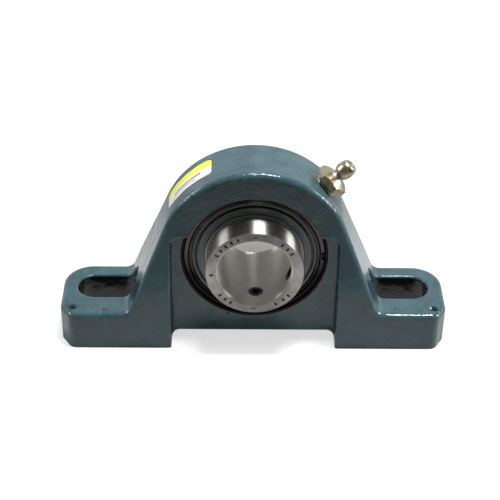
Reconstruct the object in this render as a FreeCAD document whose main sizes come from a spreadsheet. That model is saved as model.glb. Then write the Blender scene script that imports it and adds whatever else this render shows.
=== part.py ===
import FreeCAD, Part
import math
import os

import Sketcher

# Pillow block bearing: a cast housing on two slotted feet carries a self-aligning ball
# bearing insert with two set screws. Millimetres. X runs along the base, Y along the
# shaft, Z up. The origin is on the base plane, midway between the two bolt slots, and the
# long end of the inner ring points to -Y. Each piece is drawn about the shaft plane,
# the middle plane of the spherical seat, and then moved to its place.

os.makedirs("parts", exist_ok=True)
doc = FreeCAD.newDocument("PillowBlock")


# Driving sizes

SIZES = [
    ("shaft_height", 42.9, "base plane to shaft centre"),
    ("shaft_bore", 31.75, "shaft diameter, one and a quarter inch"),
    ("foot_length", 166.4, "overall length of the base"),
    ("foot_half_depth", 18.4, "shaft plane to the front or rear face of a foot"),
    ("foot_thickness", 17.9, "height of a foot"),
    ("foot_chamfer_x", 4.6, "front corner of a foot, along the base"),
    ("foot_chamfer_y", 7.4, "front corner of a foot, along the shaft"),
    ("foot_corner_soft", 4.0, "rounding of the front corners"),
    ("foot_rear_corner", 12.5, "rounding of the rear corners"),
    ("slot_inset", 20.05, "end of the base to the middle of a bolt slot"),
    ("slot_width", 15.4, "width of a bolt slot"),
    ("slot_length", 26.6, "length of a bolt slot with its round ends"),
    ("slot_offset", 2.6, "bolt slots and origin behind the shaft plane"),
    ("slot_edge", 1.2, "rounding of the upper slot edge"),
    ("arch_wall", 9.1, "arch outside the sphere of the outer ring"),
    ("arch_rise", 2.1, "arch centre above the shaft centre"),
    ("arch_half_width", 12.6, "shaft plane to the arch face"),
    ("flank_lean", 21.5, "degrees from upright of the two flanks"),
    ("flank_root", 4.5, "fillet between a flank and its foot"),
    ("cast_edge", 2.2, "rounding of the outer cast edges"),
    ("flare_rise", 6.7, "top of a foot to where the pillar front begins to lean"),
    ("flare_top", 17.0, "arch centre to where it meets the arch face"),
    ("flare_bend", 36.0, "radius of the two bends of the lean"),
    ("panel_side", 4.4, "sphere of the outer ring to the inner wall of a pillar"),
    ("panel_half_depth", 10.2, "shaft plane to the panel between the pillars"),
    ("panel_over", 11.1, "shaft centre to the top of the panel"),
    ("panel_corner", 4.2, "rounding of the top corners of the panel"),
    ("panel_root", 1.6, "fillet round the foot of the panel walls"),
    ("panel_edge", 1.0, "rounding of the outer edge of the panel walls"),
    ("relief_height", 3.9, "height of the relief under the base"),
    ("relief_corner", 3.6, "rounding in the relief corners"),
    ("mouth_step", 1.0, "plain bore inside the sphere of the outer ring"),
    ("mouth_chamfer", 0.5, "edge break of the bore mouth"),
    ("seat_clearance", 0.08, "running clearance of ring in seat"),
    ("grease_groove", 2.4, "width of the grease groove in the seat"),
    ("grease_groove_depth", 0.7, "depth of the grease groove in the seat"),
    ("loading_clearance", 0.25, "loading slot beside the outer ring"),
    ("dimple_inset", 5.6, "end of the base to a dimple"),
    ("dimple_edge", 5.5, "front of the base to a dimple"),
    ("dimple_radius", 1.9, "mouth radius of a dimple"),
    ("dimple_depth", 1.4, "depth of a dimple"),
    ("ring_wall", 5.6, "land of the outer ring to its spherical outside"),
    ("ring_half_width", 9.5, "half width of the outer ring"),
    ("ring_step_start", 1.0, "seal case to the groove in the ring face"),
    ("ring_step_width", 0.6, "width of the groove in the ring face"),
    ("ring_step_depth", 0.7, "depth of the groove in the ring face"),
    ("outer_shoulder", 2.4, "ball circle to the land of the outer ring"),
    ("relube_start", -1.3, "front edge of the grease band on the ring"),
    ("relube_end", 6.3, "rear edge of the grease band on the ring"),
    ("relube_depth", 0.4, "depth of the grease band on the ring"),
    ("relube_hole_y", 5.4, "grease hole through the ring, along the shaft"),
    ("relube_hole", 0.7, "radius of the grease hole through the ring"),
    ("inner_shoulder", 2.6, "outside of the inner ring to the ball circle"),
    ("ball_radius", 4.7625, "three eighths inch balls"),
    ("ball_count", 9, "number of balls"),
    ("ball_play", 0.02, "clearance of a ball to each raceway"),
    ("race_radius", 4.95, "groove radius of both raceways"),
    ("inner_wall", 4.525, "wall of the inner ring"),
    ("inner_front", 22.2, "shaft plane to the long end of the inner ring"),
    ("inner_rear", 15.9, "shaft plane to the short end of the inner ring"),
    ("inner_bore_chamfer", 0.6, "chamfer at both ends of the shaft bore"),
    ("inner_face_chamfer", 0.3, "chamfer round both ring faces"),
    ("tick_half_length", 0.85, "half length of an etched tick on the ring face"),
    ("tick_half_width", 0.4, "half width of an etched tick"),
    ("dash_half_length", 0.9, "half length of an etched dash round the ring face"),
    ("dash_half_width", 0.25, "half width of an etched dash"),
    ("mark_depth", 0.12, "depth of the etched marks"),
    ("tick_step", 9.4, "degrees between neighbouring ticks"),
    ("ticks_upper_left", 110.5, "degrees to the first of five ticks"),
    ("ticks_upper_right", 30.8, "degrees to the first of three ticks"),
    ("ticks_lower_left", 215.4, "degrees to the first of three ticks"),
    ("ticks_lower_right", 309.6, "degrees to the first of two ticks"),
    ("tick_left", 180.5, "degrees to the tick on the left"),
    ("tick_below", 297.4, "degrees to the tick beside the lower dash"),
    ("dash_above", 86.8, "degrees to the upper dash"),
    ("screw_plane", 13.3, "shaft plane to the set screws"),
    ("screw_radius", 3.1, "set screw radius"),
    ("screw_clearance", 0.05, "set screw in its tapped hole"),
    ("screw_length", 6.1, "length of a set screw"),
    ("screw_tip_gap", 0.05, "tip of a set screw outside the shaft bore"),
    ("screw_phase", 2.5, "degrees of the first screw past straight down"),
    ("screw_angle", 65.0, "degrees between the two screws"),
    ("screw_socket", 3.2, "set screw socket across flats"),
    ("cage_half_wall", 1.9, "ball circle to the inside and outside of the cage"),
    ("cage_front", 3.4, "shaft plane to the finger tips of the cage"),
    ("cage_rear", 6.1, "shaft plane to the back of the cage"),
    ("cage_play", 0.18, "ball in its cage pocket"),
    ("case_seat", 6.95, "shaft plane to the seal case in its ring pocket"),
    ("case_step", 1.1, "land of the outer ring to the seal case pocket"),
    ("case_rim", 9.1, "shaft plane to the rim of the seal case"),
    ("case_rim_width", 1.5, "width of the raised rim"),
    ("case_rim_bevel", 0.4, "bevel of the raised rim"),
    ("case_web", 0.6, "sheet thickness of the seal case"),
    ("case_gap", 1.5, "inner ring to the hole of the seal case"),
    ("lip_touch", 0.02, "seal lip to inner ring"),
    ("lip_thin", 0.3, "width of the lip edge"),
    ("lip_overhang", 0.45, "lip edge beyond the seal case web"),
    ("flinger_gap", 0.8, "rim of the seal case to the flinger"),
    ("flinger_back", 8.75, "shaft plane to the back of the flinger disc"),
    ("flinger_sheet", 0.6, "sheet thickness of the flinger"),
    ("flinger_skirt", 0.55, "depth of the turned edge of the flinger"),
    ("flinger_collar", 0.55, "collar of the flinger beyond its disc"),
    ("flinger_collar_wall", 0.35, "wall of the flinger collar at its end"),
    ("pin_radius", 1.25, "radius of the anti-rotation pin"),
    ("pin_plane", 8.0, "shaft plane to the pin"),
    ("pin_bite", 2.1, "tip of the pin inside the sphere of the outer ring"),
    ("pin_length", 7.0, "length of the pin"),
    ("notch_play", 0.75, "pin in the notch of the outer ring"),
    ("notch_floor", 0.5, "pin tip to the floor of the notch"),
    ("fitting_tilt", 45.0, "degrees of the grease fitting from upright"),
    ("fitting_thread", 5.3, "thread radius under the hexagon"),
    ("thread_loss", 0.28, "thread radius lost towards its end"),
    ("thread_length", 8.9, "underside of the hexagon to the end of the thread"),
    ("fitting_fit", 0.09, "thread in its tapped hole"),
    ("fitting_gap", 0.6, "end of the thread to the end of the tapped hole"),
    ("fitting_drill", 1.6, "radius of the grease drilling"),
    ("thread_pitch", 0.94, "pitch of the grease fitting thread"),
    ("thread_depth", 0.42, "depth of the grease fitting thread"),
    ("hexagon_stand", 3.6, "underside of the hexagon beyond the arch radius"),
    ("hexagon_height", 2.5, "height of the hexagon at its corners"),
    ("hexagon_flats", 12.7, "hexagon across flats"),
    ("neck_rise", 5.5, "underside of the hexagon to the neck"),
    ("neck_radius", 2.7, "neck radius"),
    ("head_radius", 3.75, "radius of the head"),
    ("head_rise", 7.2, "underside of the hexagon to the full width of the head"),
    ("head_straight", 3.1, "length of the full width of the head"),
    ("head_top", 12.3, "underside of the hexagon to the end of the head"),
    ("head_tip_radius", 2.0, "radius of the head's end face"),
    ("mouth_hole", 0.9, "radius of the grease mouth"),
    ("chamber_radius", 1.5, "radius of the spring chamber"),
    ("chamber_rise", 2.9, "underside of the hexagon to the bottom of the chamber"),
    ("chamber_top", 10.9, "underside of the hexagon to the start of the ball seat"),
    ("valve_seat_length", 0.8, "length of the cone that the check ball meets"),
    ("valve_ball", 1.2, "check ball radius"),
    ("valve_play", 0.02, "check ball to its seat"),
    ("valve_travel", 0.5, "travel of the check ball"),
    ("spring_mean", 1.0, "mean coil radius of the valve spring"),
    ("spring_wire", 0.2, "wire radius of the valve spring"),
    ("spring_pitch", 1.1, "pitch of the valve spring"),
    ("film_start", 27.0, "degrees from upright where the label begins"),
    ("film_sweep", 37.0, "degrees that the label covers"),
    ("film_front", 4.5, "shaft plane to the front edge of the label"),
    ("film_rear", 6.8, "shaft plane to the rear edge of the label"),
    ("film_corner", 2.0, "corner radius of the label"),
    ("film_sheet", 0.12, "thickness of the label"),
    ("film_glue", 0.05, "adhesive under the label"),
]

sheet = doc.addObject("Spreadsheet::Sheet", "Sizes")
for row, (alias, number, note) in enumerate(SIZES, start=1):
    sheet.set(f"A{row}", alias)
    sheet.set(f"B{row}", str(number))
    sheet.set(f"C{row}", note)
    sheet.setAlias(f"B{row}", alias)
doc.recompute()


# Sizes as numbers that remember their expression

class Size:
    """A number together with the sheet expression that gives it."""

    def __init__(self, number, text):
        self.number = float(number)
        self.text = text

    def __neg__(self):
        return Size(-self.number, f"(-1 * {self.text})")

    def __add__(self, other):
        other = as_size(other)
        return Size(self.number + other.number, f"({self.text} + {other.text})")

    def __sub__(self, other):
        other = as_size(other)
        return Size(self.number - other.number, f"({self.text} - {other.text})")

    def __mul__(self, other):
        other = as_size(other)
        return Size(self.number * other.number, f"({self.text} * {other.text})")

    def __truediv__(self, other):
        other = as_size(other)
        return Size(self.number / other.number, f"({self.text} / {other.text})")

    def __radd__(self, other):
        return as_size(other) + self

    def __rsub__(self, other):
        return as_size(other) - self

    def __rmul__(self, other):
        return as_size(other) * self


def as_size(value):
    if isinstance(value, Size):
        return value
    return Size(value, f"({float(value)!r})")


def size(alias):
    """Reads a driving size from the sheet."""
    return Size(getattr(sheet, alias), f"Sizes.{alias}")


def root(value):
    return Size(math.sqrt(value.number), f"sqrt({value.text})")


def sine(angle):
    return Size(math.sin(math.radians(angle.number)), f"sin({angle.text} * 1deg)")


def cosine(angle):
    return Size(math.cos(math.radians(angle.number)), f"cos({angle.text} * 1deg)")


def leg(long_side, short_side):
    """The other short side of a right triangle."""
    return root(long_side * long_side - short_side * short_side)


def bind(item, prop, value):
    """Sets a property and ties it to the sheet."""
    value = as_size(value)
    item.setExpression(prop, value.text)


# Sketches and features

def new_body(label, turn=None, z=None):
    """A body in the shaft plane, turned about Y and raised where asked."""
    body = doc.addObject("PartDesign::Body", label)
    body.Label = label
    if turn is not None:
        body.Placement = FreeCAD.Placement(
            FreeCAD.Vector(), FreeCAD.Rotation(FreeCAD.Vector(0, 1, 0), turn.number))
        bind(body, "Placement.Rotation.Angle", turn)
    bind(body, "Placement.Base.y", -size("slot_offset"))
    if z is not None:
        bind(body, "Placement.Base.z", z)
    return body


def origin_item(body, role):
    return next(item for item in body.Origin.OriginFeatures if item.Role == role)


def new_sketch(body, name, role, lift=None, up=None, turn=None):
    """A sketch on an origin plane: lift along its normal, up and turn inside it."""
    sketch = body.newObject("Sketcher::SketchObject", name)
    sketch.AttachmentSupport = (origin_item(body, role), [""])
    sketch.MapMode = "FlatFace"
    if turn is not None:
        sketch.AttachmentOffset = FreeCAD.Placement(
            FreeCAD.Vector(), FreeCAD.Rotation(FreeCAD.Vector(0, 0, 1), turn.number))
        bind(sketch, "AttachmentOffset.Rotation.Angle", turn)
    if lift is not None:
        bind(sketch, "AttachmentOffset.Base.z", lift)
    if up is not None:
        bind(sketch, "AttachmentOffset.Base.y", up)
    return sketch


def fix_point(sketch, edge, end, x, y):
    """Holds one end of an edge, or a centre, at its place."""
    for kind, value, axis in (("DistanceX", x, -2), ("DistanceY", y, -1)):
        if abs(value.number) < 1e-9:
            sketch.addConstraint(Sketcher.Constraint("PointOnObject", edge, end, axis))
        else:
            index = sketch.addConstraint(
                Sketcher.Constraint(kind, edge, end, value.number))
            bind(sketch, f"Constraints[{index}]", value)


def outline(sketch, corners):
    """Draws a closed outline.

    Each corner is (x, y) or (x, y, radius, side): the edge that leaves it is straight,
    or an arc of that radius that bulges to the left (1) or right (-1) of its way."""
    first = sketch.GeometryCount
    corners = [tuple(as_size(v) for v in c[:2]) + tuple(c[2:]) for c in corners]
    ends = []
    for index, corner in enumerate(corners):
        following = corners[(index + 1) % len(corners)]
        a = FreeCAD.Vector(corner[0].number, corner[1].number, 0)
        b = FreeCAD.Vector(following[0].number, following[1].number, 0)
        if len(corner) == 2:
            sketch.addGeometry(Part.LineSegment(a, b), False)
            ends.append((1, 2))
            continue
        radius, side = as_size(corner[2]), corner[3]
        chord = b - a
        left = FreeCAD.Vector(-chord.y, chord.x, 0).normalize()
        drop = math.sqrt(max(radius.number ** 2 - chord.Length ** 2 / 4, 0))
        centre = a + chord * 0.5 - left * (side * drop)
        circle = Part.Circle(centre, FreeCAD.Vector(0, 0, 1), radius.number)
        if side > 0:
            arc = Part.ArcOfCircle(circle, circle.parameter(b), circle.parameter(a))
            ends.append((2, 1))
        else:
            arc = Part.ArcOfCircle(circle, circle.parameter(a), circle.parameter(b))
            ends.append((1, 2))
        edge = sketch.addGeometry(arc, False)
        number = sketch.addConstraint(
            Sketcher.Constraint("Radius", edge, radius.number))
        bind(sketch, f"Constraints[{number}]", radius)
    for index, corner in enumerate(corners):
        edge = first + index
        before = first + (index - 1) % len(corners)
        sketch.addConstraint(Sketcher.Constraint(
            "Coincident", edge, ends[index][0], before, ends[index - 1][1]))
        fix_point(sketch, edge, ends[index][0], corner[0], corner[1])


def circle_at(sketch, x, y, radius):
    """Draws a full circle."""
    x, y, radius = as_size(x), as_size(y), as_size(radius)
    edge = sketch.addGeometry(Part.Circle(
        FreeCAD.Vector(x.number, y.number, 0), FreeCAD.Vector(0, 0, 1),
        radius.number), False)
    number = sketch.addConstraint(Sketcher.Constraint("Radius", edge, radius.number))
    bind(sketch, f"Constraints[{number}]", radius)
    fix_point(sketch, edge, 3, x, y)


def hexagon_at(sketch, across_flats):
    """Draws a hexagon about the sketch origin, two corners on its X axis."""
    reach = across_flats / math.sqrt(3)
    half = across_flats / 2
    outline(sketch, [(reach, 0), (reach / 2, half), (reach * -0.5, half),
                     (-reach, 0), (reach * -0.5, -half), (reach / 2, -half)])


def pad(body, sketch, length, midplane=False, back=False):
    item = body.newObject("PartDesign::Pad", "Pad")
    item.Profile = sketch
    bind(item, "Length", length)
    item.Midplane = midplane
    item.Reversed = back
    return finish(body, item)


def pocket(body, sketch, length=None, midplane=False, back=False):
    """Cuts to a length, or through everything where no length is given."""
    item = body.newObject("PartDesign::Pocket", "Pocket")
    item.Profile = sketch
    if length is None:
        item.Type = "ThroughAll"
    else:
        bind(item, "Length", length)
    item.Midplane = midplane
    item.Reversed = back
    return finish(body, item, cuts=True)


def revolve(body, sketch, cut=False):
    """Turns a profile about the upright axis of its sketch, added or cut."""
    kind = "PartDesign::Groove" if cut else "PartDesign::Revolution"
    item = body.newObject(kind, "Turned")
    item.Profile = sketch
    item.ReferenceAxis = (sketch, ["V_Axis"])
    item.Angle = 360
    return finish(body, item, cuts=cut)


def finish(body, item, cuts=False):
    """Recomputes and makes sure that the feature did something."""
    before = body.Tip.BaseFeature.Shape.Volume if cuts and body.Tip.BaseFeature else None
    doc.recompute()
    if any(word in item.State for word in ("Invalid", "Error")):
        raise RuntimeError(f"{body.Label}: {item.Name} failed")
    if before is not None and item.Shape.Volume >= before - 1e-6:
        raise RuntimeError(f"{body.Label}: {item.Name} cut nothing")
    return item


def spread(body, original, axis, count, angle, back=False):
    """A polar pattern of one feature about an axis of the body."""
    item = body.newObject("PartDesign::PolarPattern", "Spread")
    item.Originals = [original]
    item.Axis = (origin_item(body, axis), [""])
    bind(item, "Angle", angle)
    bind(item, "Occurrences", count)
    item.Reversed = back
    body.Tip = item
    return finish(body, item)


def mirror(body, originals, plane):
    item = body.newObject("PartDesign::Mirrored", "Other_side")
    item.Originals = originals
    item.MirrorPlane = (origin_item(body, plane), [""])
    body.Tip = item
    return finish(body, item)


def soften(body, radius, wanted, kind="PartDesign::Fillet"):
    """Fillets the edges of the body's present shape that the test picks."""
    base = body.Tip
    names = [f"Edge{number}" for number, edge in enumerate(base.Shape.Edges, start=1)
             if wanted(edge)]
    if not names:
        raise RuntimeError(f"{body.Label}: no edge to round")
    item = body.newObject(kind, "Rounded")
    item.Base = (base, names)
    bind(item, "Radius" if kind.endswith("Fillet") else "Size", radius)
    return finish(body, item)


def spot(edge):
    """The middle of an edge."""
    return edge.valueAt((edge.FirstParameter + edge.LastParameter) / 2)


def near(value, target, slack=0.05):
    return abs(value - target) < slack


# Values that several pieces share

shaft_height = size("shaft_height")
foot_half = size("foot_length") / 2
foot_depth = size("foot_half_depth")
foot_top = size("foot_thickness")
bore_radius = size("shaft_bore") / 2
inner_radius = bore_radius + size("inner_wall")
pitch = inner_radius + size("inner_shoulder")
land = pitch + size("outer_shoulder")
sphere = land + size("ring_wall")
arch_radius = sphere + size("arch_wall")
arch_centre = shaft_height + size("arch_rise")
lean = size("flank_lean")
flank_x = arch_radius * cosine(lean)
flank_z = arch_centre + arch_radius * sine(lean)
flank_slope = sine(lean) / cosine(lean)
flank_foot_x = flank_x + (flank_z - foot_top) * flank_slope
arch_face = size("arch_half_width")
seat_radius = sphere + size("seat_clearance")
flare_start = foot_top + size("flare_rise")
flare_end = arch_centre + size("flare_top")
pin_tip = sphere - size("pin_bite")
thread_top = arch_radius + size("hexagon_stand")
thread_end = thread_top - size("thread_length")
past_metal = size("cast_edge")


# Housing

def pillar_side():
    """Corners of the leaning front of a pillar: height and depth.

    Two equal bends with a straight run between them take the front from the foot's
    face to the arch face."""
    bend = size("flare_bend")
    rise = flare_end - flare_start
    step = foot_depth - arch_face
    straight = root(rise * rise + step * step - bend * step * 4)
    whole = straight * straight + bend * bend * 4
    cosine_lean = (straight * rise - bend * (step - bend * 2) * 2) / whole
    sine_lean = (bend * rise * 2 + straight * (step - bend * 2)) / whole
    first = (foot_depth - bend * (1 - cosine_lean),
             flare_start + bend * sine_lean)
    second = (arch_face + bend * (1 - cosine_lean),
              flare_end - bend * sine_lean)
    return bend, first, second


housing = new_body("housing")

front_view = new_sketch(housing, "Arch_outline", "XZ_Plane")
flank_base_x = flank_x + flank_z * flank_slope
outline(front_view, [
    (-flank_base_x, 0),
    (flank_base_x, 0),
    (flank_x, flank_z, arch_radius, -1),
    (0, arch_centre + arch_radius, arch_radius, -1),
    (-flank_x, flank_z),
])
pad(housing, front_view, foot_depth * 2, midplane=True)

bend, lower, upper = pillar_side()
over_top = arch_centre + arch_radius + past_metal
past_face = foot_depth + past_metal
side_view = new_sketch(housing, "Pillar_lean", "YZ_Plane")
for side in (-1, 1):
    outline(side_view, [
        (foot_depth * side, flare_start, bend, -side),
        (lower[0] * side, lower[1]),
        (upper[0] * side, upper[1], bend, side),
        (arch_face * side, flare_end),
        (arch_face * side, over_top),
        (past_face * side, over_top),
        (past_face * side, flare_start),
    ])
pocket(housing, side_view, midplane=True)

plan = new_sketch(housing, "Foot_plan", "XY_Plane")
chamfer_x = foot_half - size("foot_chamfer_x")
chamfer_y = foot_depth - size("foot_chamfer_y")
outline(plan, [
    (-chamfer_x, -foot_depth),
    (chamfer_x, -foot_depth),
    (foot_half, -chamfer_y),
    (foot_half, foot_depth),
    (-foot_half, foot_depth),
    (-foot_half, -chamfer_y),
])
pad(housing, plan, foot_top)


def upright_at(edge, x, y):
    middle = spot(edge)
    return near(abs(middle.x), x.number) and near(middle.y, y.number) and near(
        edge.BoundBox.ZLength, foot_top.number)


soften(housing, size("foot_rear_corner"),
       lambda edge: upright_at(edge, foot_half, foot_depth))
soften(housing, size("foot_corner_soft"),
       lambda edge: upright_at(edge, chamfer_x, -foot_depth)
       or upright_at(edge, foot_half, -chamfer_y))


def foot_of_flank(edge):
    middle = spot(edge)
    return near(abs(middle.x), flank_foot_x.number) and near(
        middle.z, foot_top.number) and edge.BoundBox.YLength > foot_depth.number


soften(housing, size("flank_root"), foot_of_flank)


def outer_cast_edge(edge):
    """The one closed run over the arch and round both feet."""
    middle = spot(edge)
    if middle.z < foot_top.number - 0.05:
        return False
    if near(middle.z, foot_top.number) and edge.BoundBox.YLength > foot_depth.number * 1.9:
        return False
    faces = [face for face in housing.Tip.Shape.Faces
             if any(edge.isSame(other) for other in face.Edges)]
    box = edge.BoundBox
    if near(box.ZLength, 0) and near(box.XLength, 0) and abs(middle.x) < foot_half.number - 1:
        return False
    normals = []
    for face in faces:
        u, v = face.Surface.parameter(middle)
        normals.append(face.normalAt(u, v))
    return len(normals) == 2 and normals[0].dot(normals[1]) < 0.9


soften(housing, size("cast_edge"), outer_cast_edge)

panel = new_sketch(housing, "Panel_outline", "XZ_Plane", lift=size("panel_half_depth"))
panel_x = sphere + size("panel_side")
panel_top = shaft_height + size("panel_over")
panel_bend = size("panel_corner")
outline(panel, [
    (-panel_x, -past_metal),
    (panel_x, -past_metal),
    (panel_x, panel_top - panel_bend, panel_bend, -1),
    (panel_x - panel_bend, panel_top),
    (panel_bend - panel_x, panel_top, panel_bend, -1),
    (-panel_x, panel_top - panel_bend),
])
front_panel = pocket(housing, panel, foot_depth, back=True)
mirror(housing, [front_panel], "XZ_Plane")


def panel_wall_foot(edge):
    middle = spot(edge)
    box = edge.BoundBox
    return (near(abs(middle.y), size("panel_half_depth").number)
            and near(box.YLength, 0)
            and middle.z > size("relief_height").number)


soften(housing, size("panel_root"), panel_wall_foot)


def panel_wall_top(edge):
    """The edge between a panel's wall and the pillar or arch in front of it."""
    middle = spot(edge)
    beside = near(abs(middle.x), panel_x.number) and edge.BoundBox.ZLength > foot_top.number / 2
    above = near(abs(middle.y), arch_face.number) and near(
        middle.z, panel_top.number) and edge.BoundBox.XLength > panel_x.number
    corner = (near(abs(middle.y), arch_face.number)
              and near(edge.BoundBox.XLength, panel_bend.number)
              and near(edge.BoundBox.ZLength, panel_bend.number))
    return (beside or above or corner) and abs(middle.y) > arch_face.number - 0.05


soften(housing, size("panel_edge"), panel_wall_top)

relief = new_sketch(housing, "Relief_outline", "XZ_Plane")
relief_z = size("relief_height")
relief_bend = size("relief_corner")
outline(relief, [
    (-panel_x, -past_metal),
    (panel_x, -past_metal),
    (panel_x, relief_z - relief_bend, relief_bend, -1),
    (panel_x - relief_bend, relief_z),
    (relief_bend - panel_x, relief_z, relief_bend, -1),
    (-panel_x, relief_z - relief_bend),
])
pocket(housing, relief, midplane=True)

bore = new_sketch(housing, "Bore_profile", "XY_Plane", lift=shaft_height)
mouth = sphere - size("mouth_step")
mouth_edge = size("mouth_chamfer")
seat_end = leg(seat_radius, mouth)
groove_half = size("grease_groove") / 2
groove_top = leg(seat_radius, groove_half)
outline(bore, [
    (0, -past_face),
    (mouth + mouth_edge, -past_face),
    (mouth + mouth_edge, -arch_face),
    (mouth, mouth_edge - arch_face),
    (mouth, -seat_end, seat_radius, -1),
    (groove_top, -groove_half),
    (groove_top + size("grease_groove_depth"), -groove_half),
    (groove_top + size("grease_groove_depth"), groove_half),
    (groove_top, groove_half, seat_radius, -1),
    (mouth, seat_end),
    (mouth, arch_face - mouth_edge),
    (mouth + mouth_edge, arch_face),
    (mouth + mouth_edge, past_face),
    (0, past_face),
])
revolve(housing, bore, cut=True)

loading = new_sketch(housing, "Loading_slots", "XZ_Plane", up=shaft_height)
loading_half = size("ring_half_width") + size("loading_clearance")
loading_radius = sphere + size("loading_clearance")
loading_x = leg(loading_radius, loading_half)
outline(loading, [
    (-loading_x, -loading_half),
    (loading_x, -loading_half, loading_radius, -1),
    (loading_x, loading_half),
    (-loading_x, loading_half, loading_radius, -1),
])
pocket(housing, loading, past_face)

slots = new_sketch(housing, "Bolt_slots", "XY_Plane")
slot_x = foot_half - size("slot_inset")
slot_y = size("slot_offset")
slot_r = size("slot_width") / 2
slot_run = size("slot_length") / 2 - slot_r
for side in (-1, 1):
    outline(slots, [
        (slot_x * side - slot_run, slot_y - slot_r),
        (slot_x * side + slot_run, slot_y - slot_r, slot_r, -1),
        (slot_x * side + slot_run + slot_r, slot_y, slot_r, -1),
        (slot_x * side + slot_run, slot_y + slot_r),
        (slot_x * side - slot_run, slot_y + slot_r, slot_r, -1),
        (slot_x * side - slot_run - slot_r, slot_y, slot_r, -1),
    ])
pocket(housing, slots, midplane=True)


def upper_slot_edge(edge):
    """The upper rim of a bolt slot, also where it climbs the foot of the flank."""
    middle = spot(edge)
    box = edge.BoundBox
    beyond = slot_run.number + slot_r.number + 0.05
    inside = (abs(abs(middle.x) - slot_x.number) < beyond
              and abs(middle.y - slot_y.number) < slot_r.number + 0.05)
    return inside and box.ZMin > foot_top.number - 0.1


soften(housing, size("slot_edge"), upper_slot_edge)

dimple = new_sketch(housing, "Dimple_profile", "XZ_Plane",
                    lift=foot_depth - size("dimple_edge"))
dimple_x = foot_half - size("dimple_inset")
dimple_axis = dimple.addGeometry(Part.LineSegment(
    FreeCAD.Vector(dimple_x.number, 0, 0),
    FreeCAD.Vector(dimple_x.number, foot_top.number, 0)), True)
fix_point(dimple, dimple_axis, 1, dimple_x, as_size(0))
fix_point(dimple, dimple_axis, 2, dimple_x, foot_top)
outline(dimple, [
    (dimple_x, foot_top - size("dimple_depth")),
    (dimple_x + size("dimple_radius") * 0.4, foot_top - size("dimple_depth")),
    (dimple_x + size("dimple_radius"), foot_top),
    (dimple_x + size("dimple_radius"), foot_top + past_metal),
    (dimple_x, foot_top + past_metal),
])
dimple_cut = housing.newObject("PartDesign::Groove", "Dimple")
dimple_cut.Profile = dimple
dimple_cut.ReferenceAxis = (dimple, ["Axis0"])
dimple_cut.Angle = 360
finish(housing, dimple_cut, cuts=True)
mirror(housing, [dimple_cut], "YZ_Plane")

port = new_sketch(housing, "Grease_port", "XZ_Plane", up=shaft_height,
                  turn=-size("fitting_tilt"))
port_end = thread_end - size("fitting_gap")
port_fit = size("fitting_fit")
port_small = size("fitting_thread") - size("thread_loss") + port_fit
port_large = size("fitting_thread") + port_fit
outline(port, [
    (0, mouth),
    (size("fitting_drill"), mouth),
    (size("fitting_drill"), port_end),
    (port_small, port_end),
    (port_small, thread_end),
    (port_large, thread_top),
    (0, thread_top),
])
revolve(housing, port, cut=True)

pin_hole = new_sketch(housing, "Pin_hole", "YZ_Plane", lift=pin_tip)
circle_at(pin_hole, -size("pin_plane"), shaft_height, size("pin_radius"))
pocket(housing, pin_hole, size("pin_length"), back=True)


# Insert: rings

outer_ring = new_body("outer_ring", z=shaft_height)
ring_profile = new_sketch(outer_ring, "Ring_profile", "XY_Plane")
half = size("ring_half_width")
face_edge = leg(sphere, half)
race = size("race_radius")
reach = size("ball_radius") + size("ball_play")
outer_race_centre = pitch + reach - race
outer_race_end = leg(race, land - outer_race_centre)
step_depth = size("ring_step_depth")
case_radius = land + size("case_step")
step_inner = case_radius + size("ring_step_start")
step_outer = step_inner + size("ring_step_width")
case_seat = size("case_seat")
band_start = size("relube_start")
band_end = size("relube_end")
band_radius = sphere - size("relube_depth")
outline(ring_profile, [
    (land, -case_seat),
    (case_radius, -case_seat),
    (case_radius, -half),
    (step_inner, -half),
    ((step_inner + step_outer) / 2, step_depth - half),
    (step_outer, -half),
    (face_edge, -half, sphere, -1),
    (leg(sphere, band_start), band_start),
    (leg(band_radius, band_start), band_start, band_radius, -1),
    (leg(band_radius, band_end), band_end),
    (leg(sphere, band_end), band_end, sphere, -1),
    (face_edge, half),
    (step_outer, half),
    ((step_inner + step_outer) / 2, half - step_depth),
    (step_inner, half),
    (case_radius, half),
    (case_radius, case_seat),
    (land, case_seat),
    (land, outer_race_end, race, 1),
    (land, -outer_race_end),
])
revolve(outer_ring, ring_profile)

relube = new_sketch(outer_ring, "Relube_hole", "XY_Plane")
circle_at(relube, 0, size("relube_hole_y"), size("relube_hole"))
pocket(outer_ring, relube, sphere, back=True)

notch = new_sketch(outer_ring, "Pin_notch", "XY_Plane")
notch_floor = pin_tip - size("notch_floor")
notch_half = size("pin_radius") + size("notch_play")
notch_end = notch_half - size("pin_plane")
outline(notch, [
    (notch_floor, -half - past_metal),
    (sphere + past_metal, -half - past_metal),
    (sphere + past_metal, notch_end),
    (notch_floor, notch_end),
])
pocket(outer_ring, notch, notch_half * 2, midplane=True)

screw_turn = -size("screw_phase")
inner_ring = new_body("inner_ring", turn=screw_turn, z=shaft_height)
inner_profile = new_sketch(inner_ring, "Ring_profile", "XY_Plane")
inner_front = size("inner_front")
inner_rear = size("inner_rear")
bore_chamfer = size("inner_bore_chamfer")
face_chamfer = size("inner_face_chamfer")
inner_race_centre = pitch - reach + race
inner_race_end = leg(race, inner_race_centre - inner_radius)
outline(inner_profile, [
    (bore_radius, bore_chamfer - inner_front),
    (bore_radius + bore_chamfer, -inner_front),
    (inner_radius - face_chamfer, -inner_front),
    (inner_radius, face_chamfer - inner_front),
    (inner_radius, -inner_race_end, race, 1),
    (inner_radius, inner_race_end),
    (inner_radius, inner_rear - face_chamfer),
    (inner_radius - face_chamfer, inner_rear),
    (bore_radius + bore_chamfer, inner_rear),
    (bore_radius, inner_rear - bore_chamfer),
])
revolve(inner_ring, inner_profile)

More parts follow.
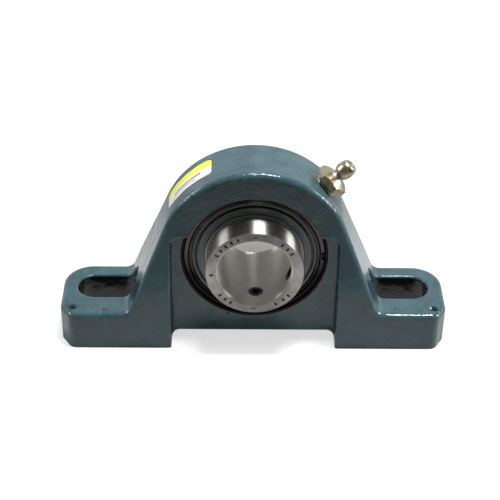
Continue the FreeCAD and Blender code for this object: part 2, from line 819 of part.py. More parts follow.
tapped = new_sketch(inner_ring, "Tapped_hole", "XY_Plane")
circle_at(tapped, 0, -size("screw_plane"), size("screw_radius") + size("screw_clearance"))
tapped_hole = pocket(inner_ring, tapped, inner_radius + past_metal)
spread(inner_ring, tapped_hole, "Y_Axis", 2, size("screw_angle"), back=True)


def etch(name, angle, half_across, half_around, count=1, sweep=None):
    """Sinks one plain mark into the long face, or several along an arc."""
    mark = new_sketch(inner_ring, name, "XZ_Plane", lift=inner_front, turn=angle)
    middle = (bore_radius + inner_radius) / 2
    outline(mark, [
        (middle - half_across, -half_around),
        (middle + half_across, -half_around),
        (middle + half_across, half_around),
        (middle - half_across, half_around),
    ])
    cut = pocket(inner_ring, mark, size("mark_depth"))
    if count > 1:
        spread(inner_ring, cut, "Y_Axis", count, sweep, back=True)


TICK_GROUPS = {
    "ticks_upper_left": 5,
    "ticks_upper_right": 3,
    "ticks_lower_left": 3,
    "ticks_lower_right": 2,
    "tick_left": 1,
    "tick_below": 1,
}
for alias, count in TICK_GROUPS.items():
    etch(alias.capitalize(), size(alias), size("tick_half_length"), size("tick_half_width"),
         count, size("tick_step") * (count - 1))
etch("Dashes", size("dash_above"), size("dash_half_width"), size("dash_half_length"),
     2, as_size(180))

screw_length = size("screw_length")
screw_radius = size("screw_radius")
screw_start = bore_radius + size("screw_tip_gap")
for number in (1, 2):
    turn = as_size(180) + screw_turn - size("screw_angle") * (number - 1)
    screw = new_body(f"setscrew_{number}", turn=turn, z=shaft_height)
    profile = new_sketch(screw, "Screw_profile", "XZ_Plane", lift=size("screw_plane"),
                         up=screw_start)
    edge_break = screw_radius * 0.16
    outline(profile, [
        (0, screw_radius * 0.3),
        (screw_radius * 0.68, 0),
        (screw_radius * 0.8, 0),
        (screw_radius, edge_break),
        (screw_radius, screw_length - edge_break),
        (screw_radius - edge_break, screw_length),
        (0, screw_length),
    ])
    revolve(screw, profile)
    socket = new_sketch(screw, "Socket", "XY_Plane")
    bind(socket, "AttachmentOffset.Base.y", -size("screw_plane"))
    hexagon_at(socket, size("screw_socket"))
    pocket(screw, socket, screw_start + screw_length + past_metal, back=True)


# Insert: balls and cage

ball_count = int(size("ball_count").number)
for number in range(ball_count):
    ball = doc.addObject("Part::Sphere", f"ball_{number + 1}")
    ball.Label = f"ball_{number + 1}"
    bind(ball, "Radius", size("ball_radius"))
    around = as_size(number) * 360 / size("ball_count") + 90
    bind(ball, "Placement.Base.x", pitch * cosine(around))
    bind(ball, "Placement.Base.y", -size("slot_offset"))
    bind(ball, "Placement.Base.z", shaft_height + pitch * sine(around))
doc.recompute()

cage = new_body("cage", z=shaft_height)
cage_profile = new_sketch(cage, "Cage_profile", "XY_Plane")
cage_inner = pitch - size("cage_half_wall")
cage_outer = pitch + size("cage_half_wall")
outline(cage_profile, [
    (cage_inner, -size("cage_front")),
    (cage_outer, -size("cage_front")),
    (cage_outer, size("cage_rear")),
    (cage_inner, size("cage_rear")),
])
revolve(cage, cage_profile)
ball_pocket = new_sketch(cage, "Ball_pocket", "XZ_Plane")
pocket_radius = size("ball_radius") + size("cage_play")
pocket_axis = ball_pocket.addGeometry(Part.LineSegment(
    FreeCAD.Vector(0, (pitch - pocket_radius).number, 0),
    FreeCAD.Vector(0, (pitch + pocket_radius).number, 0)), True)
fix_point(ball_pocket, pocket_axis, 1, as_size(0), pitch - pocket_radius)
fix_point(ball_pocket, pocket_axis, 2, as_size(0), pitch + pocket_radius)
outline(ball_pocket, [
    (0, pitch - pocket_radius, pocket_radius, -1),
    (pocket_radius, pitch, pocket_radius, -1),
    (0, pitch + pocket_radius),
])
pocket_cut = revolve(cage, ball_pocket, cut=True)
spread(cage, pocket_cut, "Y_Axis", size("ball_count"), 360)


# Insert: seals, mirrored for the rear

web = size("case_web")
case_hole = inner_radius + size("case_gap")
case_rim = size("case_rim")
case_rim_inner = case_radius - size("case_rim_width")
bevel = size("case_rim_bevel")
lip_edge = inner_radius + size("lip_touch")
lip_tip = case_seat + web + size("lip_overhang")
flinger_radius = case_rim_inner - size("flinger_gap")
disc_back = size("flinger_back")
disc_front = disc_back + size("flinger_sheet")
skirt_back = disc_back - size("flinger_skirt")
collar_end = disc_front + size("flinger_collar")
collar_wall = size("flinger_collar_wall")

SEAL_PIECES = {
    "seal_case": [
        (case_radius, case_seat),
        (case_radius, case_rim - bevel),
        (case_radius - bevel, case_rim),
        (case_rim_inner + bevel, case_rim),
        (case_rim_inner, case_rim - bevel),
        (case_rim_inner, case_seat + web),
        (case_hole, case_seat + web),
        (case_hole, case_seat),
    ],
    "seal_lip": [
        (case_hole, case_seat),
        (case_hole, case_seat + web),
        (case_hole - web, case_seat + web),
        (lip_edge, lip_tip),
        (lip_edge, lip_tip - size("lip_thin")),
        (case_hole - web * 1.5, case_seat),
    ],
    "flinger": [
        (inner_radius, disc_back),
        (flinger_radius - size("flinger_sheet"), disc_back),
        (flinger_radius - size("flinger_sheet"), skirt_back),
        (flinger_radius, skirt_back),
        (flinger_radius, disc_front - size("flinger_sheet") / 3),
        (flinger_radius - size("flinger_sheet") / 3, disc_front),
        (inner_radius + collar_wall * 2, disc_front),
        (inner_radius + collar_wall, collar_end),
        (inner_radius, collar_end),
    ],
}
for place, direction in (("front", -1), ("rear", 1)):
    for name, corners in SEAL_PIECES.items():
        piece = new_body(f"{name}_{place}", z=shaft_height)
        section = new_sketch(piece, "Section", "XY_Plane")
        outline(section, [(radius, along * direction) for radius, along in corners])
        revolve(piece, section)


# Anti-rotation pin

pin = doc.addObject("Part::Cylinder", "anti_rotation_pin")
pin.Label = "anti_rotation_pin"
bind(pin, "Radius", size("pin_radius"))
bind(pin, "Height", size("pin_length"))
pin.Placement = FreeCAD.Placement(
    FreeCAD.Vector(), FreeCAD.Rotation(FreeCAD.Vector(0, 1, 0), 90))
bind(pin, "Placement.Base.x", pin_tip)
bind(pin, "Placement.Base.y", -size("pin_plane") - size("slot_offset"))
bind(pin, "Placement.Base.z", shaft_height)


# Grease fitting

tilt = size("fitting_tilt")
fitting = new_body("grease_fitting", turn=tilt, z=shaft_height)
turned = new_sketch(fitting, "Turned_profile", "XZ_Plane")
thread_radius = size("fitting_thread")
thread_small = thread_radius - size("thread_loss")
pitch_length = size("thread_pitch")
thread_depth = size("thread_depth")
hexagon_corner = size("hexagon_flats") / math.sqrt(3)
hexagon_top = thread_top + size("hexagon_height")
neck = size("neck_radius")
neck_start = thread_top + size("neck_rise")
head = size("head_radius")
head_start = thread_top + size("head_rise")
head_end = thread_top + size("head_top")
chamber = size("chamber_radius")
chamber_start = thread_top + size("chamber_rise")
chamber_end = thread_top + size("chamber_top")
mouth_hole = size("mouth_hole")
valve_end = chamber_end + size("valve_seat_length")
profile = [(mouth_hole, thread_end), (thread_small, thread_end),
           (thread_radius, thread_top - pitch_length * 3)]
for turn_number in (2, 1, 0):
    top_of_turn = thread_top - pitch_length * turn_number
    profile.append((thread_radius - thread_depth, top_of_turn - pitch_length * 0.5))
    profile.append((thread_radius, top_of_turn))
profile += [
    (hexagon_corner, thread_top),
    (hexagon_corner, hexagon_top),
    (neck, neck_start),
    (neck, neck_start + (head_start - neck_start) * 0.3),
    (head, head_start),
    (head, head_start + size("head_straight")),
    (size("head_tip_radius"), head_end),
    (mouth_hole, head_end),
    (mouth_hole, valve_end),
    (chamber, chamber_end),
    (chamber, chamber_start),
    (mouth_hole, chamber_start),
]
outline(turned, profile)
revolve(fitting, turned)
flats = new_sketch(fitting, "Hexagon", "XY_Plane", lift=thread_top)
circle_at(flats, 0, 0, hexagon_corner + past_metal)
hexagon_at(flats, size("hexagon_flats"))
pocket(fitting, flats, neck_start - thread_top, back=True)

seat_slope = root(
    (chamber - mouth_hole) * (chamber - mouth_hole)
    + size("valve_seat_length") * size("valve_seat_length"))
valve_reach = size("valve_ball") + size("valve_play")
valve_centre = chamber_end + (
    chamber * size("valve_seat_length") - valve_reach * seat_slope) / (
    chamber - mouth_hole)
check_ball = doc.addObject("Part::Sphere", "check_ball")
check_ball.Label = "check_ball"
bind(check_ball, "Radius", size("valve_ball"))
bind(check_ball, "Placement.Base.x", valve_centre * sine(tilt))
bind(check_ball, "Placement.Base.y", -size("slot_offset"))
bind(check_ball, "Placement.Base.z", shaft_height + valve_centre * cosine(tilt))
doc.recompute()

wire = size("spring_wire").number
mean = size("spring_mean").number
spring_bottom = chamber_start.number + wire + 0.02
ball_touch = valve_centre.number - math.sqrt(
    (size("valve_ball").number + wire) ** 2 - mean ** 2)
spring_top = ball_touch - size("valve_travel").number - 0.05
helix = Part.makeHelix(
    size("spring_pitch").number, spring_top - spring_bottom, mean)
start = FreeCAD.Vector(mean, 0, 0)
section = Part.Wire([Part.makeCircle(wire, start, FreeCAD.Vector(0, 1, 0))])
coil = Part.Wire(helix).makePipeShell([section], True, True)
spring = doc.addObject("Part::Feature", "valve_spring")
spring.Label = "valve_spring"
spring.Shape = coil
spring.Placement = FreeCAD.Placement(
    FreeCAD.Vector(spring_bottom * sine(tilt).number, -size("slot_offset").number,
                   shaft_height.number + spring_bottom * cosine(tilt).number),
    FreeCAD.Rotation(FreeCAD.Vector(0, 1, 0), tilt.number))


# Label on the arch

label_inner = arch_radius + size("film_glue")
label_outer = label_inner + size("film_sheet")
half_sweep = size("film_sweep") / 2
label = new_body("label", turn=-(size("film_start") + half_sweep), z=arch_centre)
label_section = new_sketch(label, "Label_section", "XZ_Plane", lift=size("film_front"))


def on_arch(radius, side):
    return (radius * sine(half_sweep) * side, radius * cosine(half_sweep))


outline(label_section, [
    on_arch(label_inner, -1) + (label_inner, 1),
    on_arch(label_inner, 1),
    on_arch(label_outer, 1) + (label_outer, -1),
    on_arch(label_outer, -1),
])
pad(label, label_section, size("film_front") + size("film_rear"), back=True)

trim = new_sketch(label, "Label_outline", "XY_Plane", lift=label_outer + past_metal)
label_x = label_inner * sine(half_sweep)
label_front = size("film_front")
label_rear = size("film_rear")
label_bend = size("film_corner")
outline(trim, [
    (-label_x, label_bend - label_front, label_bend, -1),
    (label_bend - label_x, -label_front),
    (label_x - label_bend, -label_front, label_bend, -1),
    (label_x, label_bend - label_front),
    (label_x, label_rear - label_bend, label_bend, -1),
    (label_x - label_bend, label_rear),
    (label_bend - label_x, label_rear, label_bend, -1),
    (-label_x, label_rear - label_bend),
])
outline(trim, [
    (label_x * -2, label_front * -2),
    (label_x * 2, label_front * -2),
    (label_x * 2, label_rear * 2),
    (label_x * -2, label_rear * 2),
])
pocket(label, trim, label_outer)


# Checks before anything is written

doc.recompute()
names = ["housing", "outer_ring", "inner_ring", "setscrew_1", "setscrew_2", "cage",
         "seal_case_front", "seal_case_rear", "seal_lip_front", "seal_lip_rear",
         "flinger_front", "flinger_rear", "anti_rotation_pin", "grease_fitting",
         "check_ball", "valve_spring", "label"]
names += [f"ball_{number + 1}" for number in range(ball_count)]
for item in doc.Objects:
    if any(word in item.State for word in ("Invalid", "Error")):
        raise RuntimeError(f"{item.Name} failed")
pieces = {name: doc.getObjectsByLabel(name)[0] for name in names}
for name, item in pieces.items():
    if item.Shape.isNull() or not item.Shape.isValid():
        raise RuntimeError(f"{name} has no valid shape")
    if len(item.Shape.Solids) != 1:
        raise RuntimeError(f"{name} has {len(item.Shape.Solids)} solids")
for name, item in pieces.items():
    item.Shape.exportStep(f"parts/{name}.step")
    print(name, round(item.Shape.Volume, 2))
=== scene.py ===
import math
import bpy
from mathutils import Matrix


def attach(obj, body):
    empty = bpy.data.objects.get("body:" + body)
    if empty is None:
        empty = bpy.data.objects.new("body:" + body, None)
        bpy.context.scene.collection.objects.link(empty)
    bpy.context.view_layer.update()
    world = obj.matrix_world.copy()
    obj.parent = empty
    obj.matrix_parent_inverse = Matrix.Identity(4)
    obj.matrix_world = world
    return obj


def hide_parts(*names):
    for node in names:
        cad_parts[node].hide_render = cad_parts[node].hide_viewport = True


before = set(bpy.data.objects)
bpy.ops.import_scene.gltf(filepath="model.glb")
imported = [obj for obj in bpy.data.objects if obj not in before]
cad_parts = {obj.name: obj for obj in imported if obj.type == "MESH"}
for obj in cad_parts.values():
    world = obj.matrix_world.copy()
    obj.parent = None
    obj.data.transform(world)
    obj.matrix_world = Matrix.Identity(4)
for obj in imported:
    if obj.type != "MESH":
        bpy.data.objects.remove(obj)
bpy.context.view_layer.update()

from types import SimpleNamespace

import bmesh
import bpy
import numpy as np
from bpy.props import FloatProperty, FloatVectorProperty, PointerProperty
from mathutils import Matrix, Vector

bl_info = {
    "name": "Pillow block bearing",
    "version": (1, 0, 0),
    "blender": (4, 5, 0),
    "location": "View3D > Sidebar > Bearing",
    "description": "Finishes, label and studio for a cast pillow block ball bearing",
    "category": "Object",
}

MM = 0.001
# Middle of the shaft, how far the arch's centre is above it, and the arch's radius
SHAFT = Vector((0, -2.6 * MM, 42.9 * MM))
ARCH_RISE = 2.1 * MM
ARCH_RADIUS = 40.1 * MM
# A fold sharper than this shows as an edge
CRISP = math.radians(35)

# Larger chips in the paint of the feet and the panel: place and radius in millimetres
CHIPS = (
    ((-63.6, -16.5, 18.2), 0.7),
    ((-62.4, -16.7, 18.2), 0.5),
    ((61.5, -14.9, 18.2), 0.6),
    ((62.9, -15.3, 18.2), 0.5),
    ((33.0, -12.8, 34.6), 0.6),
    ((-10.7, -12.8, 13.3), 0.8),
)
# Middle of the right foot's dimple, where painted shade lies, in millimetres
DIMPLE = (77.6, -15.5, 17.0)

# Zones where a finish changes, in millimetres: from, to, and how far their edges are soft.
# Out from the shaft plane: the front and rear faces, and the width of the seat
CAST_FACE = (12, 20, 0.3)
SEAT_WIDTH = (-12.2, 12.2, 0.02)
# Out from the shaft's axis: the seat, the groove beside the seal, the ground outside of
# the inner ring, the etched part of its face, its bore, and a flinger's cut edge
SEAT = (20, 31.12, 0.02)
GROOVE = (26.4, 27.6, 0.08)
GROUND = (20.25, 30, 0.05)
ETCHED_RIM = (16.7, 19.6, 0.05)
BORE = (10, 16.2, 0.05)
FLINGER_EDGE = (0, 20.8, 0.04)
# Along the shaft, with the front below zero: the inner ring's face and its etched marks
RING_FACE = (-30, -22.05, 0.03)
ETCHED_FLOOR = (-22.17, -21.95, 0.01)
# Up from the floor the milled base, and out from its middle the bowl of a dimple that gets
# painted shade
MILLED = (-5, 0.08, 0.02)
BOWL = (-1, 1.5, 0.35)
# The walls of the slots, in X, Y and Z, which get painted shade
SLOT = ((48, 78, 0.4), (-1, 8.1, 0.4), (0.3, 17.2, 0.4))

# Two plain bars printed on the label, as shares of its size: middle and half width from
# front to rear, start and end down the arch
BARS = ((0.36, 0.06, 0.2, 0.78), (0.17, 0.03, 0.3, 0.86))
# Where its yellow band starts, from front to rear
BAND_EDGE = 0.55

# Softboxes, in metres: place, width and depth. They face the point below.
SOFTBOXES = {
    "Overhead": ((0.11, 0.01, 0.77), 0.1, 0.24),
    "Left": ((-0.7, 0.02, 0.42), 0.26, 0.28),
    "Right": ((0.77, 0.02, 0.3), 0.26, 0.24),
    "Front": ((0, -0.95, 0.45), 0.7, 0.3),
}
LIT_POINT = Vector((0, 0, 40 * MM))
# Half the side of the floor, in metres
FLOOR_HALF = 2.5
# The camera as it was worked out from the photograph: in metres, lens and sensor in mm
CAMERA_PLACE = (-0.010669, -0.49635, 0.38966)
CAMERA_RIGHT = Vector((0.999873, -0.008517, 0.013482))
CAMERA_UP = Vector((-0.006064, 0.578858, 0.815406))
CAMERA_LENS = 101.74
CAMERA_SENSOR = 36
WHITE = (1, 1, 1, 1)

# A Mix node has sockets of one name for numbers, vectors and colours, so they go by number
FACTOR = 0
NUMBER_A, NUMBER_B, NUMBER = 2, 3, 0
VECTOR_A, VECTOR_B, VECTOR = 4, 5, 1
COLOUR_A, COLOUR_B, COLOUR = 6, 7, 2


# Colours, scales and nodes

def linear(hex_colour):
    """An sRGB hex colour as linear red, green, blue and full alpha."""
    parts = np.array([int(hex_colour[n:n + 2], 16) for n in (1, 3, 5)]) / 255
    low = parts / 12.92
    high = ((parts + 0.055) / 1.055) ** 2.4
    return (*np.where(parts <= 0.04045, low, high).tolist(), 1.0)


def tint(base, factor):
    """A colour made darker or lighter by a factor, with full alpha."""
    return [min(channel * factor, 1) for channel in base[:3]] + [1]


def per_mm(feature):
    """Texture scale on coordinates in metres for a feature of this many millimetres."""
    return 1 / (feature * MM)


def add(tree, kind, inputs=None, **settings):
    """Adds a node with its settings, and its input values or links by name or number."""
    node = tree.nodes.new(kind)
    for name, value in settings.items():
        setattr(node, name, value)
    for key, value in (inputs or {}).items():
        if isinstance(value, bpy.types.NodeSocket):
            tree.links.new(value, node.inputs[key])
        else:
            node.inputs[key].default_value = value
    return node


def new_finish(name, **fixed):
    """A material with one Principled shader: returns it, its tree, the shader and
    the object coordinates. The fixed values go on the shader's own sockets."""
    material = bpy.data.materials.new(name)
    material.use_nodes = True
    tree = material.node_tree
    tree.nodes.clear()
    sockets = {key.replace("_", " "): value for key, value in fixed.items()}
    shader = add(tree, "ShaderNodeBsdfPrincipled", sockets)
    add(tree, "ShaderNodeOutputMaterial", {"Surface": shader.outputs[0]})
    place = add(tree, "ShaderNodeTexCoord").outputs["Object"]
    return material, tree, shader, place


def about_shaft(tree, place):
    """Coordinates centred on the shaft, their part across it, the radius from its axis
    and the place along it."""
    centred = add(tree, "ShaderNodeMapping",
                  {"Vector": place, "Location": tuple(-SHAFT)}).outputs[0]
    across = add(tree, "ShaderNodeVectorMath", {0: centred, 1: (1, 0, 1)},
                 operation="MULTIPLY").outputs[0]
    radius = add(tree, "ShaderNodeVectorMath", {0: across}, operation="LENGTH")
    along = add(tree, "ShaderNodeSeparateXYZ", {0: centred}).outputs["Y"]
    return SimpleNamespace(centred=centred, across=across, along=along,
                           radius=radius.outputs["Value"])


def all_of(tree, mask, *others):
    """One where every mask is one: their product."""
    for other in others:
        mask = add(tree, "ShaderNodeMath", {0: mask, 1: other},
                   operation="MULTIPLY").outputs[0]
    return mask


def any_of(tree, mask, *others):
    """One where any mask is one: the highest of them."""
    for other in others:
        mask = add(tree, "ShaderNodeMath", {0: mask, 1: other},
                   operation="MAXIMUM").outputs[0]
    return mask


def band(tree, value, low, high, soft):
    """One between low and high, zero outside, in millimetres, with soft edges."""
    rise = add(tree, "ShaderNodeMapRange", {
        "Value": value, "From Min": (low - soft) * MM, "From Max": (low + soft) * MM})
    fall = add(tree, "ShaderNodeMapRange", {
        "Value": value, "From Min": (high - soft) * MM, "From Max": (high + soft) * MM,
        "To Min": 1, "To Max": 0})
    return all_of(tree, rise.outputs[0], fall.outputs[0])


def lathe_rings(tree, radius, spacing):
    """Turning marks round the shaft, about this many millimetres apart. That is coarser
    than the real ones, so that they show."""
    stretched = add(tree, "ShaderNodeMath", {0: radius, 1: per_mm(spacing)},
                    operation="MULTIPLY").outputs[0]
    return add(tree, "ShaderNodeTexNoise", {"W": stretched, "Scale": 1, "Detail": 2},
               noise_dimensions="1D").outputs[0]


def relief(tree, shader, *layers):
    """Bump from several heights between 0 and 1, each with its depth in millimetres."""
    normal = None
    for height, depth in layers:
        inputs = {"Height": height, "Distance": depth * MM}
        if normal is not None:
            inputs["Normal"] = normal
        normal = add(tree, "ShaderNodeBump", inputs).outputs[0]
    tree.links.new(normal, shader.inputs["Normal"])


def coat(tree, shader, tone, *layers, follows, smooth, rough):
    """Links the shader's colour, its roughness, which follows a pattern from smooth to
    rough, and the relief of the layers."""
    roughness = add(tree, "ShaderNodeMapRange", {
        "Value": follows, "To Min": smooth, "To Max": rough}).outputs[0]
    tree.links.new(tone, shader.inputs["Base Color"])
    tree.links.new(roughness, shader.inputs["Roughness"])
    relief(tree, shader, *layers)


def dress(material, *names):
    """Gives CAD nodes their finish."""
    for name in names:
        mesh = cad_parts[name].data
        mesh.materials.clear()
        mesh.materials.append(material)


def place_in_scene(name, data):
    """A new object of this mesh, light or camera."""
    item = bpy.data.objects.new(name, data)
    bpy.context.scene.collection.objects.link(item)
    return item


def surface(name, points, uv, material, outward=None):
    """A mesh from a grid of points whose columns close on themselves.

    points is (rows, columns, 3) and uv is (rows, columns, 2). outward is a direction
    that the surface mostly faces, and a closed shell has none."""
    rows, columns = points.shape[:2]
    index = np.arange(rows * columns).reshape(rows, columns)
    onward = np.roll(index, -1, axis=1)
    quads = np.stack([index[:-1], index[1:], onward[1:], onward[:-1]], axis=-1).reshape(-1, 4)
    mesh = bpy.data.meshes.new(name)
    mesh.from_pydata(points.reshape(-1, 3), [], quads)
    layer = mesh.uv_layers.new(name="Across")
    layer.data.foreach_set("uv", uv.reshape(-1, 2)[quads.ravel()].astype(np.float32).ravel())
    work = bmesh.new()
    work.from_mesh(mesh)
    bmesh.ops.remove_doubles(work, verts=work.verts, dist=1e-7)
    if outward is None:
        bmesh.ops.recalc_face_normals(work, faces=work.faces)
    else:
        facing = sum((face.normal * face.calc_area() for face in work.faces), Vector())
        if facing.dot(Vector(outward)) < 0:
            bmesh.ops.reverse_faces(work, faces=work.faces)
    work.to_mesh(mesh)
    work.free()
    mesh.shade_smooth()
    mesh.set_sharp_from_angle(angle=CRISP)
    mesh.materials.append(material)
    return place_in_scene(name, mesh)


# Sizes and colours that a user may change

def colour(name, description, hex_colour):
    """A colour, with its default as sRGB hex."""
    return FloatVectorProperty(name=name, description=description, subtype="COLOR", size=4,
                               min=0, max=1, default=linear(hex_colour))


def amount(name, description, default):
    """A length in millimetres or a level of light."""
    return FloatProperty(name=name, description=description, default=default, min=0)


def angle(name, description, degrees):
    """An angle, with its default in degrees."""
    return FloatProperty(name=name, description=description, subtype="ANGLE",
                         default=math.radians(degrees))


class BearingColours(bpy.types.PropertyGroup):
    """Colours of the finishes."""
    enamel: colour("Enamel", "Blue-green machine enamel of the housing", "#3a545b")
    bearing_steel: colour("Bearing steel", "Inner ring and balls", "#c2c0bb")
    seal_steel: colour("Seal steel", "Pressed cases of the seals", "#666d70")
    flinger_steel: colour("Flinger steel", "Pressed flingers beside the seals", "#6a6e70")
    zinc: colour("Yellow zinc", "Passivated zinc plate of the grease fitting", "#bdb49b")
    oxide: colour("Black oxide", "Blackened set screws and pin", "#26272a")
    label_band: colour("Label band", "Coloured band of the label", "#dfe23c")
    label_field: colour("Label field", "Plain field of the label", "#e2e2d8")


class BearingSizes(bpy.types.PropertyGroup):
    """Sizes of the patterns, the label and the grease fitting."""
    sand_grain: amount("Sand grain", "Grain of the casting under the paint, mm", 1.1)
    sand_depth: amount("Sand depth", "Depth of that grain, mm", 0.2)
    wave: amount("Casting waves", "Length of the casting's long waves, mm", 7)
    wave_depth: amount("Wave depth", "Depth of those waves, mm", 0.35)
    label_start: angle("Label start", "Upper end from upright", 27)
    label_sweep: angle("Label sweep", "Angle that it covers", 37)
    label_front: amount("Label front", "Its front edge from the shaft plane, mm", 4.5)
    label_rear: amount("Label rear", "Its rear edge from the shaft plane, mm", 6.8)
    label_sheet: amount("Label sheet", "Height of its face over the arch, mm", 0.17)
    hexagon_flats: amount("Hexagon", "Grease fitting across its flats, mm", 12.7)
    hexagon_turn: angle("Hexagon turn", "How far it is screwed in", 26)


class BearingStage(bpy.types.PropertyGroup):
    """Light levels of the studio."""
    overhead: amount("Overhead", "Power of the overhead softbox", 7.8)
    left: amount("Left", "Power of the left softbox", 2.5)
    right: amount("Right", "Power of the right softbox", 4.0)
    front: amount("Front", "Power of the front fill", 0.01)
    ambient: amount("Ambient", "Level of the light from all round", 0.035)
    floor_glow: amount("Floor glow", "What lifts the floor to white", 0.66)


# Finishes

def paint_chips(tree, place, grain):
    """Mask of the chips in the paint.

    Small ones are about 1 mm across and lie in one of twelve cells of 13 mm, and the
    larger ones come from the list. A finer noise makes all of them ragged."""
    fine = add(tree, "ShaderNodeTexNoise", {"Vector": place, "Scale": per_mm(0.7)})
    ragged = add(tree, "ShaderNodeMix", {
        FACTOR: 0.9 * MM, VECTOR_A: place, VECTOR_B: fine.outputs["Color"]},
        data_type="VECTOR").outputs[VECTOR]
    cells = add(tree, "ShaderNodeTexVoronoi", {"Vector": ragged, "Scale": per_mm(13)})
    chosen = add(tree, "ShaderNodeSeparateColor", {0: cells.outputs["Color"]}).outputs[0]
    rare = add(tree, "ShaderNodeMath", {0: chosen, 1: 0.92},
               operation="GREATER_THAN").outputs[0]
    wobble = add(tree, "ShaderNodeMath", {0: grain, 1: 0.06, 2: 0.015},
                 operation="MULTIPLY_ADD").outputs[0]
    near = add(tree, "ShaderNodeMath", {0: cells.outputs["Distance"], 1: wobble},
               operation="LESS_THAN").outputs[0]
    chip = all_of(tree, rare, near)
    for spot, radius in CHIPS:
        away = add(tree, "ShaderNodeVectorMath", {
            0: ragged, 1: [value * MM for value in spot]}, operation="DISTANCE")
        inside = add(tree, "ShaderNodeMath", {
            0: away.outputs["Value"], 1: radius * MM}, operation="LESS_THAN").outputs[0]
        chip = any_of(tree, chip, inside)
    return chip


def machine_enamel(colours, sizes):
    """Alkyd machine enamel sprayed over shot-blasted cast iron.

    A semi-gloss film. It fills the sand grain only partly, so highlights break up on the
    arch, and it has small dark chips. Under the base and in the seat the iron is bare."""
    material, tree, shader, place = new_finish("machine_enamel_on_cast_iron", IOR=1.5)
    grain = add(tree, "ShaderNodeTexNoise", {
        "Vector": place, "Scale": per_mm(sizes.sand_grain), "Detail": 3, "Roughness": 0.55,
    }).outputs[0]
    wave = add(tree, "ShaderNodeTexNoise", {
        "Vector": place, "Scale": per_mm(sizes.wave), "Detail": 2}).outputs[0]
    # Orange peel of the sprayed film, 0.6 mm across
    peel = add(tree, "ShaderNodeTexNoise", {
        "Vector": place, "Scale": per_mm(0.6), "Detail": 1}).outputs[0]
    shaft = about_shaft(tree, place)
    position = add(tree, "ShaderNodeSeparateXYZ", {0: place})
    height = position.outputs["Z"]
    # Distances without their sign, so that both ends and both faces are alike
    width, depth, outward = (
        add(tree, "ShaderNodeMath", {0: value}, operation="ABSOLUTE").outputs[0]
        for value in (position.outputs["X"], position.outputs["Y"], shaft.along))
    # The arch is rougher than the feet and the panel
    rough_zone = add(tree, "ShaderNodeMapRange", {
        "Value": height, "From Min": 44 * MM, "From Max": 62 * MM,
        "To Min": 0.4, "To Max": 1}, interpolation_type="SMOOTHSTEP").outputs[0]
    sand = all_of(tree, grain, rough_zone)
    # The film's thickness varies, and its colour drifts with that and with the waves
    drift = add(tree, "ShaderNodeTexNoise", {
        "Vector": place, "Scale": per_mm(0.9), "Detail": 4, "Roughness": 0.7}).outputs[0]
    drift = add(tree, "ShaderNodeMath", {0: drift, 1: wave}, operation="ADD").outputs[0]
    drift = add(tree, "ShaderNodeMapRange", {
        "Value": drift, "From Min": 0.62, "From Max": 1.38}).outputs[0]
    enamel = colours.enamel
    painted = add(tree, "ShaderNodeMix", {
        FACTOR: drift, COLOUR_A: tint(enamel, 0.7), COLOUR_B: tint(enamel, 1.34)},
        data_type="RGBA").outputs[COLOUR]
    # Painted shade: dark specks for the casting's pits on the front and rear, most on the
    # arch
    painted_pit_shade = add(tree, "ShaderNodeTexNoise", {
        "Vector": place, "Scale": per_mm(1.7), "Detail": 3, "Roughness": 0.6}).outputs[0]
    painted_pit_shade = add(tree, "ShaderNodeMapRange", {
        "Value": painted_pit_shade, "From Min": 0.6, "From Max": 0.68}).outputs[0]
    painted_pit_shade = all_of(tree, painted_pit_shade, rough_zone, band(tree, outward, *CAST_FACE))
    # Painted shade in the dimple of each foot: its bowl is made darker
    folded = add(tree, "ShaderNodeCombineXYZ", {
        "X": width, "Y": position.outputs["Y"], "Z": height}).outputs[0]
    away = add(tree, "ShaderNodeVectorMath", {
        0: folded, 1: [value * MM for value in DIMPLE]}, operation="DISTANCE")
    dimple_shade = band(tree, away.outputs["Value"], *BOWL)
    # Painted shade: the walls of the slots are made almost black
    slot_shade = all_of(tree, *(band(tree, value, *zone)
                          for value, zone in zip((width, depth, height), SLOT)))
    chip = paint_chips(tree, place, grain)
    # Painted shade in the pits, the dimples and the slots, and the real dark chips in the
    # paint
    for mask, darker in ((painted_pit_shade, tint(enamel, 0.35)), (chip, linear("#2a2320")),
                         (dimple_shade, tint(enamel, 0.3)), (slot_shade, linear("#121516"))):
        painted = add(tree, "ShaderNodeMix", {
            FACTOR: mask, COLOUR_A: painted, COLOUR_B: darker},
            data_type="RGBA").outputs[COLOUR]
    # Bare iron, grey where milled under the base; in the seat, painted shade makes it almost
    # black
    seat = all_of(tree, band(tree, shaft.radius, *SEAT),
                  band(tree, shaft.along, *SEAT_WIDTH))
    bare = any_of(tree, band(tree, height, *MILLED), seat)
    milled = add(tree, "ShaderNodeMix", {
        FACTOR: grain, COLOUR_A: linear("#57565a"), COLOUR_B: linear("#77767a")},
        data_type="RGBA").outputs[COLOUR]
    iron = add(tree, "ShaderNodeMix", {
        FACTOR: seat, COLOUR_A: milled, COLOUR_B: linear("#171514")},
        data_type="RGBA").outputs[COLOUR]
    both = add(tree, "ShaderNodeMix", {FACTOR: bare, COLOUR_A: painted, COLOUR_B: iron},
               data_type="RGBA").outputs[COLOUR]
    tree.links.new(bare, shader.inputs["Metallic"])
    coat(tree, shader, both, (wave, sizes.wave_depth), (sand, sizes.sand_depth),
         (peel, 0.006), follows=grain, smooth=0.06, rough=0.2)
    return material


def lay_of(tree, across):
    """Direction across the grinding marks of a turned piece, for its highlights.

    Along the shaft on a cylinder and outward on a face: the sum of both, which the
    shader lays into the surface."""
    outward = add(tree, "ShaderNodeVectorMath", {0: across}, operation="NORMALIZE").outputs[0]
    both = add(tree, "ShaderNodeVectorMath", {0: outward, 1: (0, 1, 0)},
               operation="ADD").outputs[0]
    return add(tree, "ShaderNodeVectorTransform", {0: both}, vector_type="VECTOR",
               convert_from="OBJECT", convert_to="WORLD").outputs[0]


